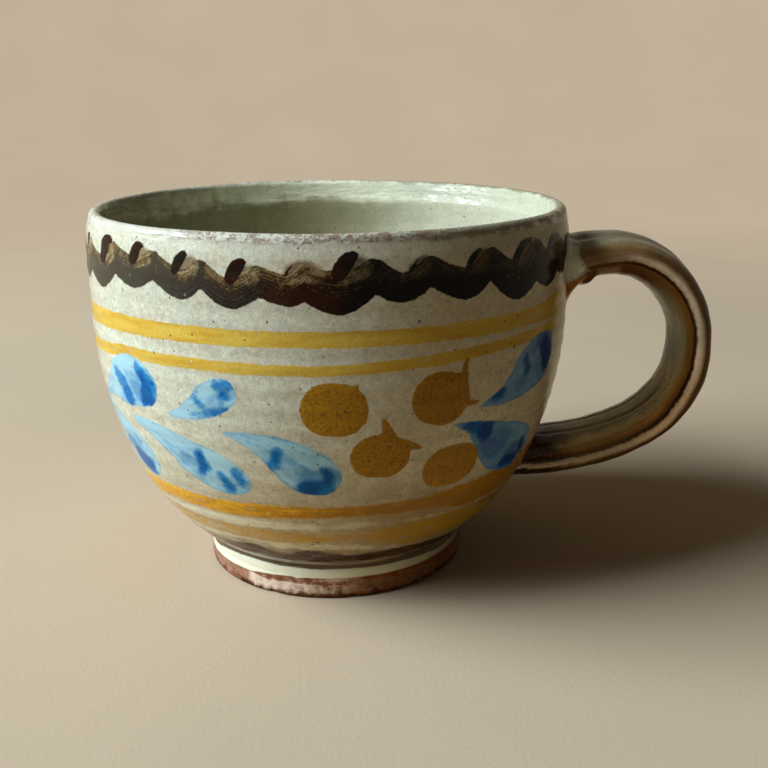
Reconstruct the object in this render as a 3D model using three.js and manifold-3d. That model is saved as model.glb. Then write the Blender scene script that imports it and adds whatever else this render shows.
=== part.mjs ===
// A thrown ceramic cup: a deep round bowl on a low turned foot ring, with a pulled strap handle
// bent in an ear along +X. Millimetres, +Z up. The cup stands on the plane z = 0, and the origin
// is the middle of the whole cup's outline there, so the bowl's axis lies a little towards -X.

import * as THREE from 'three';
import { mergeVertices } from 'three/addons/utils/BufferGeometryUtils.js';
import Module from 'manifold-3d';

const manifold = await Module();
manifold.setup();

// Foot ring: a low turned ring with an upright outer face and a sloping inner one
const footRadius = 25.6;
const footHeight = 4.6;
const footDraft = 0.4;
const footBand = 5.4;
const footInnerSlope = 1.1;
const footOuterRound = 0.5;
const footInnerRound = 0.7;

// Slip seam between the foot ring and the bowl
const seamHeight = 1.6;
const seamProud = 0.15;

// Bowl: outer form
const cupHeight = 70;
const bellyRadius = 45;
const bellyHeight = 53;
const springInset = 0.45;
const springAngle = 32;
const springLength = 10.9;
const bellyTangent = 24.6;
const shoulderTangent = 2;
const lipTurnIn = 0.9;
const lipTangent = 3.5;
const lipLean = 1.2;

// Bowl: wall, lip and floor
const lipThickness = 2.3;
const wallThickness = 3.8;
const floorThickness = 5.5;
const floorDish = 0.5;
const floorRadius = 19;
const innerBellyTangent = 21;
const innerFloorTangent = 13;
const undersideDome = 0.8;
const undersideRadius = 18;

// Handle: the path of the strap's middle line, in the plane y = 0
const handleStandOff = 29.8;
const upperRootBelowLip = 12;
const upperRootAngle = 14;
const upperRootTangent = 3;
const crownBelowLip = 6.4;
const crownStandOff = 9.9;
const crownInnerTangent = 4;
const crownOuterTangent = 6.3;
const earHeight = 40.7;
const earUpperTangent = 13.2;
const earLowerTangent = 18.3;
const tailHeight = 18.9;
const tailTangent = 13.6;
const rootDepth = 7;

// Handle: the strap's section, which narrows from the root to the middle and swells at the tail
const rootWidth = 17.5;
const middleWidth = 15.8;
const tailWidth = 16.6;
const rootThickness = 9.2;
const crownThickness = 7.7;
const middleThickness = 7;
const tailThickness = 8.3;
const sectionSquareness = 2.4;
const sideGrooveDepth = 0.7;
const sideGrooveWidth = 0.9;
const sideGrooveDrop = 1.4;
const fluteDepth = 0.45;
const fluteWidth = 1.5;
const fluteSpacing = 7.6;

// Luting: the clay pressed round each end of the strap
const upperLutingFlare = 3.4;
const upperLutingReach = 5;
const lowerLutingFlare = 2.4;
const lowerLutingReach = 4.5;
const lutingEdge = 0.7;

// Clearance between pieces that follow each other's curved faces
const seatGap = 0.3;

// Facets
const turns = 64;
const sectionSteps = 32;
const strapSteps = 46;
const lutingSteps = 12;

const glaze = { color: 0xb9b59c, roughness: 0.25, metalness: 0 };
const terracotta = { color: 0x8a4f38, roughness: 0.75, metalness: 0 };
const slip = { color: 0xcfcab4, roughness: 0.3, metalness: 0 };
const brownGlaze = { color: 0x7a6248, roughness: 0.3, metalness: 0 };

const basePlane = footHeight + seamHeight;
const footTopRadius = footRadius - footDraft;
const springRadius = footTopRadius - springInset;
const footInnerTopRadius = footTopRadius - footBand;
const footInnerBottomRadius = footInnerTopRadius + footInnerSlope;
const lipRadius = lipThickness / 2;
const lipHeight = cupHeight - lipRadius;
const lipOuterRadius = bellyRadius - lipTurnIn;
const handleReach = bellyRadius + handleStandOff;
const bowlAxisX = -(handleReach - bellyRadius) / 2;

const point = (radius, height) => new THREE.Vector2(radius, height);

function polar(start, length, degrees) {
  const angle = THREE.MathUtils.degToRad(degrees);
  return start.clone().add(point(length * Math.cos(angle), length * Math.sin(angle)));
}

function bezier(start, startHandle, endHandle, end, steps) {
  return new THREE.CubicBezierCurve(start, startHandle, endHandle, end).getPoints(steps);
}

// The bowl's outer outline, from the spring above the foot to the widest part and up to the lip
function outerOutline() {
  const spring = point(springRadius, basePlane);
  const belly = point(bellyRadius, bellyHeight);
  const lip = point(lipOuterRadius, lipHeight);
  const lower = bezier(
    spring,
    polar(spring, springLength, springAngle),
    point(bellyRadius, bellyHeight - bellyTangent),
    belly,
    15,
  );
  const upper = bezier(
    belly,
    point(bellyRadius, bellyHeight + shoulderTangent),
    point(lipOuterRadius + lipLean, lipHeight - lipTangent),
    lip,
    6,
  );
  return [...lower, ...upper.slice(1)];
}

// The half circle over the lip, from its outer side to its inner one
function lipRound() {
  const centre = point(lipOuterRadius - lipRadius, lipHeight);
  const steps = 6;
  const points = [];
  for (let i = 1; i < steps; i += 1) {
    points.push(polar(centre, lipRadius, (180 * i) / steps));
  }
  return points;
}

// The inside, from the lip down the wall to the middle of the slightly dished floor
function innerOutline() {
  const lip = point(lipOuterRadius - lipThickness, lipHeight);
  const belly = point(bellyRadius - wallThickness, bellyHeight);
  const floorEdge = point(floorRadius, basePlane + floorThickness + floorDish);
  const upper = bezier(
    lip,
    point(lip.x, lipHeight - lipTangent),
    point(belly.x, bellyHeight + lipTangent),
    belly,
    4,
  );
  const lower = bezier(
    belly,
    point(belly.x, bellyHeight - innerBellyTangent),
    point(floorRadius + innerFloorTangent, floorEdge.y + floorDish),
    floorEdge,
    13,
  );
  const middle = point(0, basePlane + floorThickness);
  return [...upper, ...lower.slice(1), middle];
}

function wallRadiusAt(height) {
  const outline = outerOutline();
  const above = outline.findIndex((corner) => corner.y >= height);
  const [low, high] = [outline[above - 1], outline[above]];
  return THREE.MathUtils.mapLinear(height, low.y, high.y, low.x, high.x);
}

// Turns an outline of radius and height about the bowl's axis
function revolve(outline) {
  const geometry = new THREE.LatheGeometry(outline, turns);
  geometry.rotateX(Math.PI / 2);
  geometry.translate(bowlAxisX, 0, 0);
  return geometry;
}

function bowlGeometry() {
  const underside = [point(0, basePlane + undersideDome), point(undersideRadius, basePlane)];
  return revolve([...underside, ...outerOutline(), ...lipRound(), ...innerOutline()]);
}

function footRingGeometry() {
  return revolve([
    point(footInnerBottomRadius + footInnerRound, 0),
    point(footRadius - footOuterRound, 0),
    point(footRadius, footOuterRound),
    point(footTopRadius, footHeight),
    point(footInnerTopRadius, footHeight),
    point(footInnerBottomRadius, footInnerRound),
    point(footInnerBottomRadius + footInnerRound, 0),
  ]);
}

function footLutingGeometry() {
  const crest = seamHeight / 3;
  return revolve([
    point(footInnerTopRadius, footHeight),
    point(footTopRadius, footHeight),
    point(footTopRadius + seamProud, footHeight + crest),
    point(footTopRadius, basePlane - crest),
    point(springRadius, basePlane),
    point(footInnerTopRadius, basePlane),
    point(footInnerTopRadius, footHeight),
  ]);
}

// The strap's middle line: in through the wall, over the crown, round the ear and back to the wall
function handlePath() {
  const at = ({ x, y }) => new THREE.Vector3(bowlAxisX + x, 0, y);
  const upperRootHeight = cupHeight - upperRootBelowLip;
  const upperRoot = point(wallRadiusAt(upperRootHeight), upperRootHeight);
  const crownHeight = cupHeight - crownBelowLip - crownThickness / 2;
  const crown = point(bellyRadius + crownStandOff, crownHeight);
  const ear = point(handleReach - middleThickness / 2, earHeight);
  const tail = point(wallRadiusAt(tailHeight), tailHeight);
  const curve = (...corners) => new THREE.CubicBezierCurve3(...corners.map(at));
  const path = new THREE.CurvePath();
  path.add(new THREE.LineCurve3(at(polar(upperRoot, -rootDepth, upperRootAngle)), at(upperRoot)));
  path.add(curve(
    upperRoot,
    polar(upperRoot, upperRootTangent, upperRootAngle),
    point(crown.x - crownInnerTangent, crown.y),
    crown,
  ));
  path.add(curve(
    crown,
    point(crown.x + crownOuterTangent, crown.y),
    point(ear.x, ear.y + earUpperTangent),
    ear,
  ));
  path.add(curve(
    ear,
    point(ear.x, ear.y - earLowerTangent),
    point(tail.x + tailTangent, tail.y),
    tail,
  ));
  path.add(new THREE.LineCurve3(at(tail), at(point(tail.x - rootDepth, tail.y))));
  return path;
}

// A smooth value along the path, through stops of [share of the length, value]
function along(stops, share) {
  const next = Math.max(1, stops.findIndex(([stop]) => stop >= share));
  const [[from, low], [to, high]] = [stops[next - 1], stops[next]];
  return THREE.MathUtils.lerp(low, high, THREE.MathUtils.smoothstep(share, from, to));
}

function strapSize(path, share) {
  const [root, crown, ear, tail] = path.getCurveLengths().map((length) => length / path.getLength());
  return {
    width: along([[0, rootWidth], [root, rootWidth], [ear, middleWidth], [1, tailWidth]], share),
    thickness: along(
      [[0, rootThickness], [root, rootThickness], [crown, crownThickness],
        [ear, middleThickness], [tail, tailThickness], [1, tailThickness]],
      share,
    ),
  };
}

const dip = (distance, width) => Math.exp(-((distance / width) ** 2));

// One section of the strap: a flat oval with a groove pressed into each side towards the inner
// face, and two shallow flutes down the outer face. x is across the strap and y is outward.
function strapSection(width, thickness, growth) {
  const points = [];
  for (let i = 0; i < sectionSteps; i += 1) {
    const turn = (2 * Math.PI * i) / sectionSteps;
    const round = (value) => Math.sign(value) * Math.abs(value) ** (2 / sectionSquareness);
    const across = round(Math.cos(turn));
    const out = round(Math.sin(turn));
    const sideways = Math.abs(across) ** 4;
    const groove = sideGrooveDepth * sideways * dip(out * thickness / 2 + sideGrooveDrop, sideGrooveWidth);
    const fluteSide = Math.abs(across) * width / 2 - fluteSpacing / 2;
    const flute = out > 0 ? fluteDepth * out * dip(fluteSide, fluteWidth) : 0;
    points.push(point(
      across * (width / 2 + growth - groove),
      out * (thickness / 2 + growth - flute),
    ));
  }
  return points;
}

// A closed skin over a row of sections that all have the same number of points
function loft(rings) {
  const size = rings[0].length;
  const positions = rings.flat().flatMap((corner) => corner.toArray());
  const indices = [];
  for (let ring = 0; ring < rings.length - 1; ring += 1) {
    for (let i = 0; i < size; i += 1) {
      const here = ring * size + i;
      const beside = ring * size + ((i + 1) % size);
      indices.push(here, beside, here + size, beside, beside + size, here + size);
    }
  }
  const last = (rings.length - 1) * size;
  for (let i = 1; i < size - 1; i += 1) {
    indices.push(0, i + 1, i, last, last + i, last + i + 1);
  }
  const geometry = new THREE.BufferGeometry();
  geometry.setAttribute('position', new THREE.Float32BufferAttribute(positions, 3));
  geometry.setIndex(indices);
  return geometry;
}

// A loft along the strap between two distances from its upper end, grown by growthAt(distance)
function loftAlongStrap(path, start, end, steps, growthAt) {
  const rings = [];
  for (let step = 0; step <= steps; step += 1) {
    const distance = THREE.MathUtils.lerp(start, end, step / steps);
    const share = distance / path.getLength();
    const centre = path.getPoint(share);
    const tangent = path.getTangent(share);
    const outward = new THREE.Vector3(-tangent.z, 0, tangent.x);
    const { width, thickness } = strapSize(path, share);
    rings.push(strapSection(width, thickness, growthAt(distance)).map(({ x, y }) => (
      centre.clone().addScaledVector(outward, y).add(new THREE.Vector3(0, x, 0))
    )));
  }
  return loft(rings);
}

function toSolid(geometry) {
  const bare = geometry.clone();
  bare.deleteAttribute('normal');
  bare.deleteAttribute('uv');
  const merged = mergeVertices(bare);
  return new manifold.Manifold(new manifold.Mesh({
    numProp: 3,
    vertProperties: merged.attributes.position.array,
    triVerts: Uint32Array.from(merged.index.array),
  }));
}

function toGeometry(solid) {
  const { vertProperties, triVerts } = solid.getMesh();
  const geometry = new THREE.BufferGeometry();
  geometry.setAttribute('position', new THREE.BufferAttribute(vertProperties, 3));
  geometry.setIndex(new THREE.BufferAttribute(triVerts, 1));
  return geometry;
}

// The bowl's outer form without its hollow, grown by the gap, to cut what is set against it
function bowlForm() {
  const outline = outerOutline();
  const grown = outline.map((corner, i) => {
    const before = outline[Math.max(i - 1, 0)];
    const after = outline[Math.min(i + 1, outline.length - 1)];
    const run = after.clone().sub(before).normalize();
    return point(corner.x + run.y * seatGap, corner.y - run.x * seatGap);
  });
  const top = point(0, grown.at(-1).y);
  return toSolid(revolve([point(0, grown[0].y), ...grown, top]));
}

function handleGeometry(path) {
  const strap = loftAlongStrap(path, 0, path.getLength(), strapSteps, () => 0);
  return toGeometry(toSolid(strap).subtract(bowlForm()));
}

// A collar of clay round the strap, deepest at the wall and thinning along the strap
function lutingGeometry(path, wallDistance, direction, reach, flare) {
  const growthAt = (distance) => {
    const beyondWall = (distance - wallDistance) * direction;
    const thinning = 1 - Math.max(beyondWall, 0) / reach;
    return lutingEdge + (flare - lutingEdge) * thinning ** 2;
  };
  const stretch = (beyondEnd, growth) => {
    const ends = [wallDistance - direction * rootDepth, wallDistance + direction * (reach + beyondEnd)];
    return toSolid(loftAlongStrap(path, Math.min(...ends), Math.max(...ends), lutingSteps, growth));
  };
  const clay = stretch(0, growthAt);
  const bore = stretch(seatGap, () => seatGap);
  return toGeometry(clay.subtract(bore).subtract(bowlForm()));
}

function part(name, geometry, finish) {
  const mesh = new THREE.Mesh(geometry, new THREE.MeshStandardMaterial(finish));
  mesh.name = name;
  return mesh;
}

const path = handlePath();
const tailWallDistance = path.getLength() - rootDepth;

const group = new THREE.Group();
group.add(part('bowl', bowlGeometry(), glaze));
group.add(part('foot_ring', footRingGeometry(), terracotta));
group.add(part('foot_luting', footLutingGeometry(), slip));
group.add(part('handle', handleGeometry(path), brownGlaze));
group.add(part(
  'handle_upper_luting',
  lutingGeometry(path, rootDepth, 1, upperLutingReach, upperLutingFlare),
  glaze,
));
group.add(part(
  'handle_lower_luting',
  lutingGeometry(path, tailWallDistance, -1, lowerLutingReach, lowerLutingFlare),
  brownGlaze,
));

export default group;
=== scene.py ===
# %% [markdown]
# # A thrown and painted slipware cup
#
# The cup is red earthenware: a bowl thrown on the wheel, set on a turned foot ring, with a strap
# handle pulled from a lump of clay and pressed on at both ends. A coat of pale slip hides the red
# clay, the pattern is brushed on it, and a glossy glaze covers all but the foot.
#
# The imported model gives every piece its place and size. This lesson dresses it: each piece is
# modelled again finely enough to hold real throwing rings, grooves and brush relief, and each
# finish is mixed from noise and from the strokes themselves.

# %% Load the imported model
import math

import bpy
import numpy as np
from mathutils import Matrix, Vector


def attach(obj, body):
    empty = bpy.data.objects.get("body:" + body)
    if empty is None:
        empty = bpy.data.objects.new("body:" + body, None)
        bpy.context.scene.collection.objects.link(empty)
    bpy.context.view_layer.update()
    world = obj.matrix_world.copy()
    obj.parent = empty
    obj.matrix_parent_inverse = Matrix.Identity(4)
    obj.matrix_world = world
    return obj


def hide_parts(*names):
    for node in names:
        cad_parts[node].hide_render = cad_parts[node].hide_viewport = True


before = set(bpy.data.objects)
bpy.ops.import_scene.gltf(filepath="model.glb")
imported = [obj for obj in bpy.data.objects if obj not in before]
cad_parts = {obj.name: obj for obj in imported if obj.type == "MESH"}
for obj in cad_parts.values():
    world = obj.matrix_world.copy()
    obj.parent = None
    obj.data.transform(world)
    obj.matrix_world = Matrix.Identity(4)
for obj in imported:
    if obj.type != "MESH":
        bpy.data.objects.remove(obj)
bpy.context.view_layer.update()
print("CAD nodes:", ", ".join(sorted(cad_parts)))

# %% [markdown]
# ## Sizes
#
# These are the lengths that the solids were made with, in millimetres. The bowl's own axis
# stands a little to the left of the origin, so everything below is worked out from that axis and
# moved across once, when a mesh is made.

# %% Sizes of the real pieces
MM = 0.001
BOWL_AXIS = -14.9

FOOT_RADIUS, FOOT_HEIGHT, FOOT_DRAFT, FOOT_BAND, FOOT_INNER_SLOPE = 25.6, 4.6, 0.4, 5.4, 1.1
SEAM_HEIGHT, SEAM_PROUD = 1.6, 0.15
CUP_HEIGHT, BELLY_RADIUS, BELLY_HEIGHT = 70.0, 45.0, 53.0
SPRING_INSET, SPRING_ANGLE, SPRING_LENGTH = 0.45, 32.0, 10.9
BELLY_TANGENT, SHOULDER_TANGENT = 24.6, 2.0
LIP_TURN_IN, LIP_TANGENT, LIP_LEAN, LIP_THICKNESS = 0.9, 3.5, 1.2, 2.3
WALL_THICKNESS, FLOOR_THICKNESS, FLOOR_DISH, FLOOR_RADIUS = 3.8, 5.5, 0.5, 19.0
INNER_BELLY_TANGENT, INNER_FLOOR_TANGENT = 21.0, 13.0
UNDERSIDE_DOME, UNDERSIDE_RADIUS = 0.8, 18.0

BASE_PLANE = FOOT_HEIGHT + SEAM_HEIGHT
FOOT_TOP_RADIUS = FOOT_RADIUS - FOOT_DRAFT
SPRING_RADIUS = FOOT_TOP_RADIUS - SPRING_INSET
LIP_HEIGHT = CUP_HEIGHT - LIP_THICKNESS / 2
LIP_OUTER_RADIUS = BELLY_RADIUS - LIP_TURN_IN
print("the bowl springs at", round(BASE_PLANE, 2), "mm and its lip turns at", LIP_HEIGHT, "mm")

# %% [markdown]
# ## The camera
#
# The photograph was taken from close by, about 19 cm from the cup and a hand's breadth above it,
# so the mouth shows as a wide ellipse. The camera's place and turn were found by matching the
# lip, the foot and the handle; a normal lens with no shift does the rest.

# %% Camera
CAMERA_PLACE = Vector((BOWL_AXIS, -191.25, 91.2)) * MM
PITCH, YAW, ROLL = (math.radians(turn) for turn in (16.752, 3.019, -0.389))
FOCAL_PIXELS, PHOTO_PIXELS = 1000.0, 768.0

ahead = Vector((
    math.sin(YAW) * math.cos(PITCH),
    math.cos(YAW) * math.cos(PITCH),
    -math.sin(PITCH),
))
level = Vector((math.cos(YAW), -math.sin(YAW), 0.0))
lifted = level.cross(ahead)
right = level * math.cos(ROLL) + lifted * math.sin(ROLL)
upward = lifted * math.cos(ROLL) - level * math.sin(ROLL)

camera_data = bpy.data.cameras.new("camera")
camera_data.sensor_width = 36.0
camera_data.lens = FOCAL_PIXELS / PHOTO_PIXELS * camera_data.sensor_width
camera_data.clip_start = 0.01
camera = bpy.data.objects.new("camera", camera_data)
bpy.context.scene.collection.objects.link(camera)
turned = Matrix((right, upward, -ahead)).transposed().to_4x4()
camera.matrix_world = Matrix.Translation(CAMERA_PLACE) @ turned
bpy.context.scene.camera = camera
print("lens", round(camera_data.lens, 2), "mm")

# %% [markdown]
# ## Recipes for finishes
#
# A finish is a tree of nodes. Written node by node it hides its idea, so three small classes let
# it be written as sums instead. `Wire` is one socket, and arithmetic on it adds Math nodes.
# `Recipe` is a node tree: one method adds every other kind of node, and `layers` lays coats of
# colour over each other. `Finish` is the recipe of a material, with the noises that clay needs.

# %% Wires that add up
class Wire:
    """A socket on its way to another node; arithmetic on wires adds Math nodes."""

    def __init__(self, recipe, socket):
        self.recipe = recipe
        self.socket = socket

    def maths(self, operation, *values):
        settings = {"operation": operation}
        return self.recipe.node("ShaderNodeMath", settings, dict(enumerate(values)))

    def __add__(self, other):
        return self.maths("ADD", self, other)

    def __sub__(self, other):
        return self.maths("SUBTRACT", self, other)

    def __rsub__(self, other):
        return self.maths("SUBTRACT", other, self)

    def __mul__(self, other):
        return self.maths("MULTIPLY", self, other)

    def __truediv__(self, other):
        return self.maths("DIVIDE", self, other)

    def __abs__(self):
        return self.maths("ABSOLUTE", self)

    __radd__ = __add__
    __rmul__ = __mul__

    def most(self, other):
        """The greater of two values."""
        return self.maths("MAXIMUM", self, other)

    def fraction(self):
        """What is left over the last whole number."""
        return self.maths("FRACT", self)

    def rise(self, low, high):
        """0 below low, 1 above high, and a smooth step between them."""
        settings = {"interpolation_type": "SMOOTHSTEP"}
        sockets = {"Value": self, "From Min": low, "From Max": high}
        return self.recipe.node("ShaderNodeMapRange", settings, sockets)

    def fall(self, low, high):
        """1 below low and 0 above high."""
        return 1 - self.rise(low, high)

    def near(self, middle, inner, outer):
        """1 within inner of the middle and 0 beyond outer."""
        return abs(self - middle).fall(inner, outer)


print("wires can be added, multiplied and stepped")

# %% A recipe and its one method for nodes
class Recipe:
    """The node tree of a material or of the room, written as sums."""

    def __init__(self, owner):
        self.owner = owner
        owner.use_nodes = True
        self.tree = owner.node_tree
        self.tree.nodes.clear()

    def node(self, kind, settings=None, sockets=None, output=0):
        made = self.tree.nodes.new(kind)
        for name, value in (settings or {}).items():
            setattr(made, name, value)
        for name, value in (sockets or {}).items():
            socket = made.inputs[name]
            if isinstance(value, Wire):
                self.tree.links.new(value.socket, socket)
            elif socket.type == "RGBA":
                socket.default_value = (*value, 1)
            else:
                socket.default_value = value
        return Wire(self, made.outputs[output]) if made.outputs else None

    def vector(self, operation, *values, **named):
        sockets = {**dict(enumerate(values)), **named}
        return self.node("ShaderNodeVectorMath", {"operation": operation}, sockets)

    def ramp(self, level, stops):
        """A colour that follows a level through stops of (level, colour)."""
        low, high = stops[0][0], stops[-1][0]
        made = self.node("ShaderNodeValToRGB", sockets={0: (level - low) / (high - low)})
        elements = made.socket.node.color_ramp.elements
        while len(elements) < len(stops):
            elements.new(1)
        for element, (stop, colour) in zip(elements, stops):
            element.position = (stop - low) / (high - low)
            element.color = (*colour, 1)
        return made

    def layers(self, colour, *coats):
        """Coats of (colour, share) laid over a colour, one after another."""
        for over, share in coats:
            sockets = {0: share, 6: colour, 7: over}
            colour = self.node("ShaderNodeMix", {"data_type": "RGBA"}, sockets, output=2)
        return colour

    def blend(self, under, over, share):
        return self.layers(under, (over, share))

    def tint(self, colour, amount):
        return self.vector("SCALE", colour, Scale=amount)

    def tell(self, what):
        print(what, "done,", len(self.tree.nodes), "nodes so far")

    def looked_at(self, mirrored):
        """1 for what the eye sees, itself or through glass, and a share of it in mirrorings."""
        eye, mirror, glass = (
            self.node("ShaderNodeLightPath", output=f"Is {kind} Ray")
            for kind in ("Camera", "Glossy", "Transmission")
        )
        return eye.most(mirror * mirrored).most(glass)


print("recipes are ready")

# %% Finishes for clay and glaze
SHINE = 0.11


class Finish(Recipe):
    """The material of a piece, worked out from each point's place in millimetres."""

    def __init__(self, name):
        super().__init__(bpy.data.materials.new(name))
        axis = self.node("ShaderNodeTexCoord", output="Object")
        scaled = self.vector("SCALE", axis, Scale=1 / MM)
        self.place = self.vector("SUBTRACT", scaled, (BOWL_AXIS, 0, 0))

    def painted(self, name):
        """A value that the mesh carries at its points."""
        return self.node("ShaderNodeAttribute", {"attribute_name": name}, output="Fac")

    def along(self, axis):
        """The place along one axis, in millimetres."""
        return self.node("ShaderNodeSeparateXYZ", sockets={0: self.place}, output=axis)

    def noise(self, spot, detail, rough):
        """Noise about 0, with lumps one unit wide."""
        sockets = {"Vector": spot, "Scale": 1, "Detail": detail, "Roughness": rough}
        return self.node("ShaderNodeTexNoise", sockets=sockets) * 2 - 1

    def cloud(self, size, detail=2, stretch=(1, 1, 1), shift=0, rough=0.5):
        """Noise with lumps of that size in millimetres, stretched along the axes."""
        scale = tuple(1 / (size * along) for along in stretch)
        spot = self.vector("MULTIPLY_ADD", self.place, scale, (shift, shift, shift))
        return self.noise(spot, detail, rough)

    def hairs(self, *parts, detail=3, rough=0.5):
        """Noise drawn out along a stroke: parts are its slow and its quick directions."""
        spot = self.node("ShaderNodeCombineXYZ", sockets=dict(enumerate(parts)))
        return self.noise(spot, detail, rough)

    def specks(self, spacing, radius, share, shift=0):
        """Sparse round dots: a share of the cells of that spacing hold one of that radius."""
        scale = (1 / spacing,) * 3
        spot = self.vector("MULTIPLY_ADD", self.place, scale, (shift, shift, shift))
        sockets = {"Vector": spot, "Scale": 1}
        distance = self.node("ShaderNodeTexVoronoi", sockets=sockets) * spacing
        chance = self.node("ShaderNodeTexVoronoi", sockets=sockets, output="Color")
        lucky = self.node("ShaderNodeSeparateColor", sockets={0: chance}).fall(share, share + 0.02)
        return distance.fall(radius * 0.5, radius) * lucky

    def skin(self, colour, roughness, relief, **plain):
        """The surface itself: relief is a height in millimetres, plain values go on the shader."""
        bump = self.node("ShaderNodeBump", sockets={"Distance": MM, "Height": relief})
        sockets = {"Base Color": colour, "Roughness": roughness, "Normal": bump}
        sockets.update({"Specular IOR Level": SHINE, **plain})
        shader = self.node("ShaderNodeBsdfPrincipled", sockets=sockets)
        self.node("ShaderNodeOutputMaterial", sockets={"Surface": shader})
        print(self.owner.name, "has", len(self.tree.nodes), "nodes")
        return self.owner


print("finishes are ready, with a shine of", SHINE)

# %% [markdown]
# ## Outlines
#
# Everything thrown on a wheel is an outline turned about an axis. The outlines are the same
# curves as in the solids, only sampled finely. `even` spaces points evenly along a curve, because
# the painted edges are stored at the mesh's points and need them close together.

# %% Curves and outlines
def bezier(start, leave, arrive, end, steps=200):
    t = np.linspace(0, 1, steps)[:, None]
    corners = [np.array(corner, float) for corner in (start, leave, arrive, end)]
    weights = [(1 - t) ** 3, 3 * (1 - t) ** 2 * t, 3 * (1 - t) * t**2, t**3]
    return sum(weight * corner for weight, corner in zip(weights, corners))


def polar(start, length, degrees):
    turn = math.radians(degrees)
    return (start[0] + length * math.cos(turn), start[1] + length * math.sin(turn))


def distances(points):
    """How far along a line of points each of them lies."""
    steps = np.linalg.norm(np.diff(points, axis=0), axis=1)
    return np.concatenate([[0], np.cumsum(steps)])


def spaced(columns, run, spacing):
    """The columns of a line, read at places about that far apart along it."""
    wanted = np.linspace(0, run[-1], max(2, round(run[-1] / spacing) + 1))
    return np.stack([np.interp(wanted, run, column) for column in columns], axis=1)


def even(points, spacing):
    """The same line with its points about that far apart."""
    points = np.asarray(points, float)
    return spaced(points.T, distances(points), spacing)


def smooth(value, low, high):
    """0 below low, 1 above high, and a smooth step between them."""
    share = np.clip((value - low) / (high - low), 0, 1)
    return share * share * (3 - 2 * share)


def hump(value, middle, width):
    """1 at the middle, fading away on either side."""
    return np.exp(-(((value - middle) / width) ** 2))


spring = (SPRING_RADIUS, BASE_PLANE)
belly = (BELLY_RADIUS, BELLY_HEIGHT)
lip_start = (LIP_OUTER_RADIUS, LIP_HEIGHT)
outside = np.vstack([
    bezier(
        spring,
        polar(spring, SPRING_LENGTH, SPRING_ANGLE),
        (BELLY_RADIUS, BELLY_HEIGHT - BELLY_TANGENT),
        belly,
    ),
    bezier(
        belly,
        (BELLY_RADIUS, BELLY_HEIGHT + SHOULDER_TANGENT),
        (LIP_OUTER_RADIUS + LIP_LEAN, LIP_HEIGHT - LIP_TANGENT),
        lip_start,
    )[1:],
])


def wall_radius(height):
    return np.interp(height, outside[:, 1], outside[:, 0])


print("the wall is", round(float(wall_radius(30)), 2), "mm from its axis at 30 mm high")

# %% [markdown]
# ## Brush strokes
#
# The pattern is a traditional one: a combed wave under the lip, pairs of ochre lines, leaves in
# blue and berries in ochre. A round brush leaves a row of discs, so a stroke is a short list of
# places on the wall with the brush's half width at each. For every point of the mesh the stroke
# is stored as a depth, how far inside the edge the point lies, so the shader can put the edge
# between two points as sharply as it likes, and ruffle it.

# %% Strokes on the wall
STROKE_REACH = 3.0
DISC_SPACING = 0.3


def on_wall(azimuth, height):
    """A point of the bowl's outer face, in millimetres from the bowl's axis."""
    turn, radius = np.radians(azimuth), wall_radius(height)
    height = np.asarray(height, float)
    return np.stack([radius * np.cos(turn), radius * np.sin(turn), height], axis=-1)


def stroke(*stops):
    """Discs along a smooth line through stops of (azimuth, height, half width)."""
    stops = np.array(stops, float)
    padded = np.vstack([2 * stops[0] - stops[1], stops, 2 * stops[-1] - stops[-2]])
    pieces = []
    for before, start, end, after in zip(padded, padded[1:], padded[2:], padded[3:]):
        leave, arrive = start + (end - before) / 6, end - (after - start) / 6
        pieces.append(bezier(start, leave, arrive, end, 40)[:-1])
    line = np.vstack([*pieces, stops[-1:]])
    centres = on_wall(line[:, 0], line[:, 1])
    run = distances(centres)
    return spaced((*centres.T, line[:, 2], run), run, DISC_SPACING)


def turned_by(degrees, stops):
    return [(azimuth + degrees, height, half) for azimuth, height, half in stops]


def lay(points, strokes):
    """Depth inside the nearest stroke, with the place along it and across it, for each point."""
    depth = np.full(len(points), -STROKE_REACH)
    along, across = np.zeros(len(points)), np.zeros(len(points))
    for discs in strokes:
        centres, half = discs[:, :3], discs[:, 3]
        low = (centres - half[:, None]).min(0) - STROKE_REACH
        high = (centres + half[:, None]).max(0) + STROKE_REACH
        near = np.flatnonzero(((points > low) & (points < high)).all(1))
        if not len(near):
            continue
        gap = points[near, None] - centres
        inside = half - np.linalg.norm(gap, axis=2)
        best = inside.argmax(1)
        row = np.arange(len(near))
        better = inside[row, best] > depth[near]
        chosen, best, row = near[better], best[better], row[better]
        heading = np.gradient(centres, axis=0)[best]
        heading /= np.linalg.norm(heading, axis=1)[:, None]
        outward = points[chosen] * (1, 1, 0)
        outward /= np.linalg.norm(outward, axis=1)[:, None]
        sideways = np.cross(outward, heading)
        depth[chosen] = inside[row, best]
        along[chosen] = discs[best, 4]
        across[chosen] = (gap[row, best] * sideways).sum(1) / half[best]
    return depth, along, across


print("a test stroke has", len(stroke((0, 30, 1), (10, 34, 2))), "discs")

# %% [markdown]
# ### Leaves and berries
#
# Each leaf is one press of a loaded brush: a fine start, a swelling belly and a round end, where
# the cobalt runs together in dark pools. The berries are dabs of ochre slip with one or two
# flicks where the brush was lifted. The side away from the camera repeats the spray, as such
# cups do, with one more pair of leaves in the space that is left.

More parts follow.
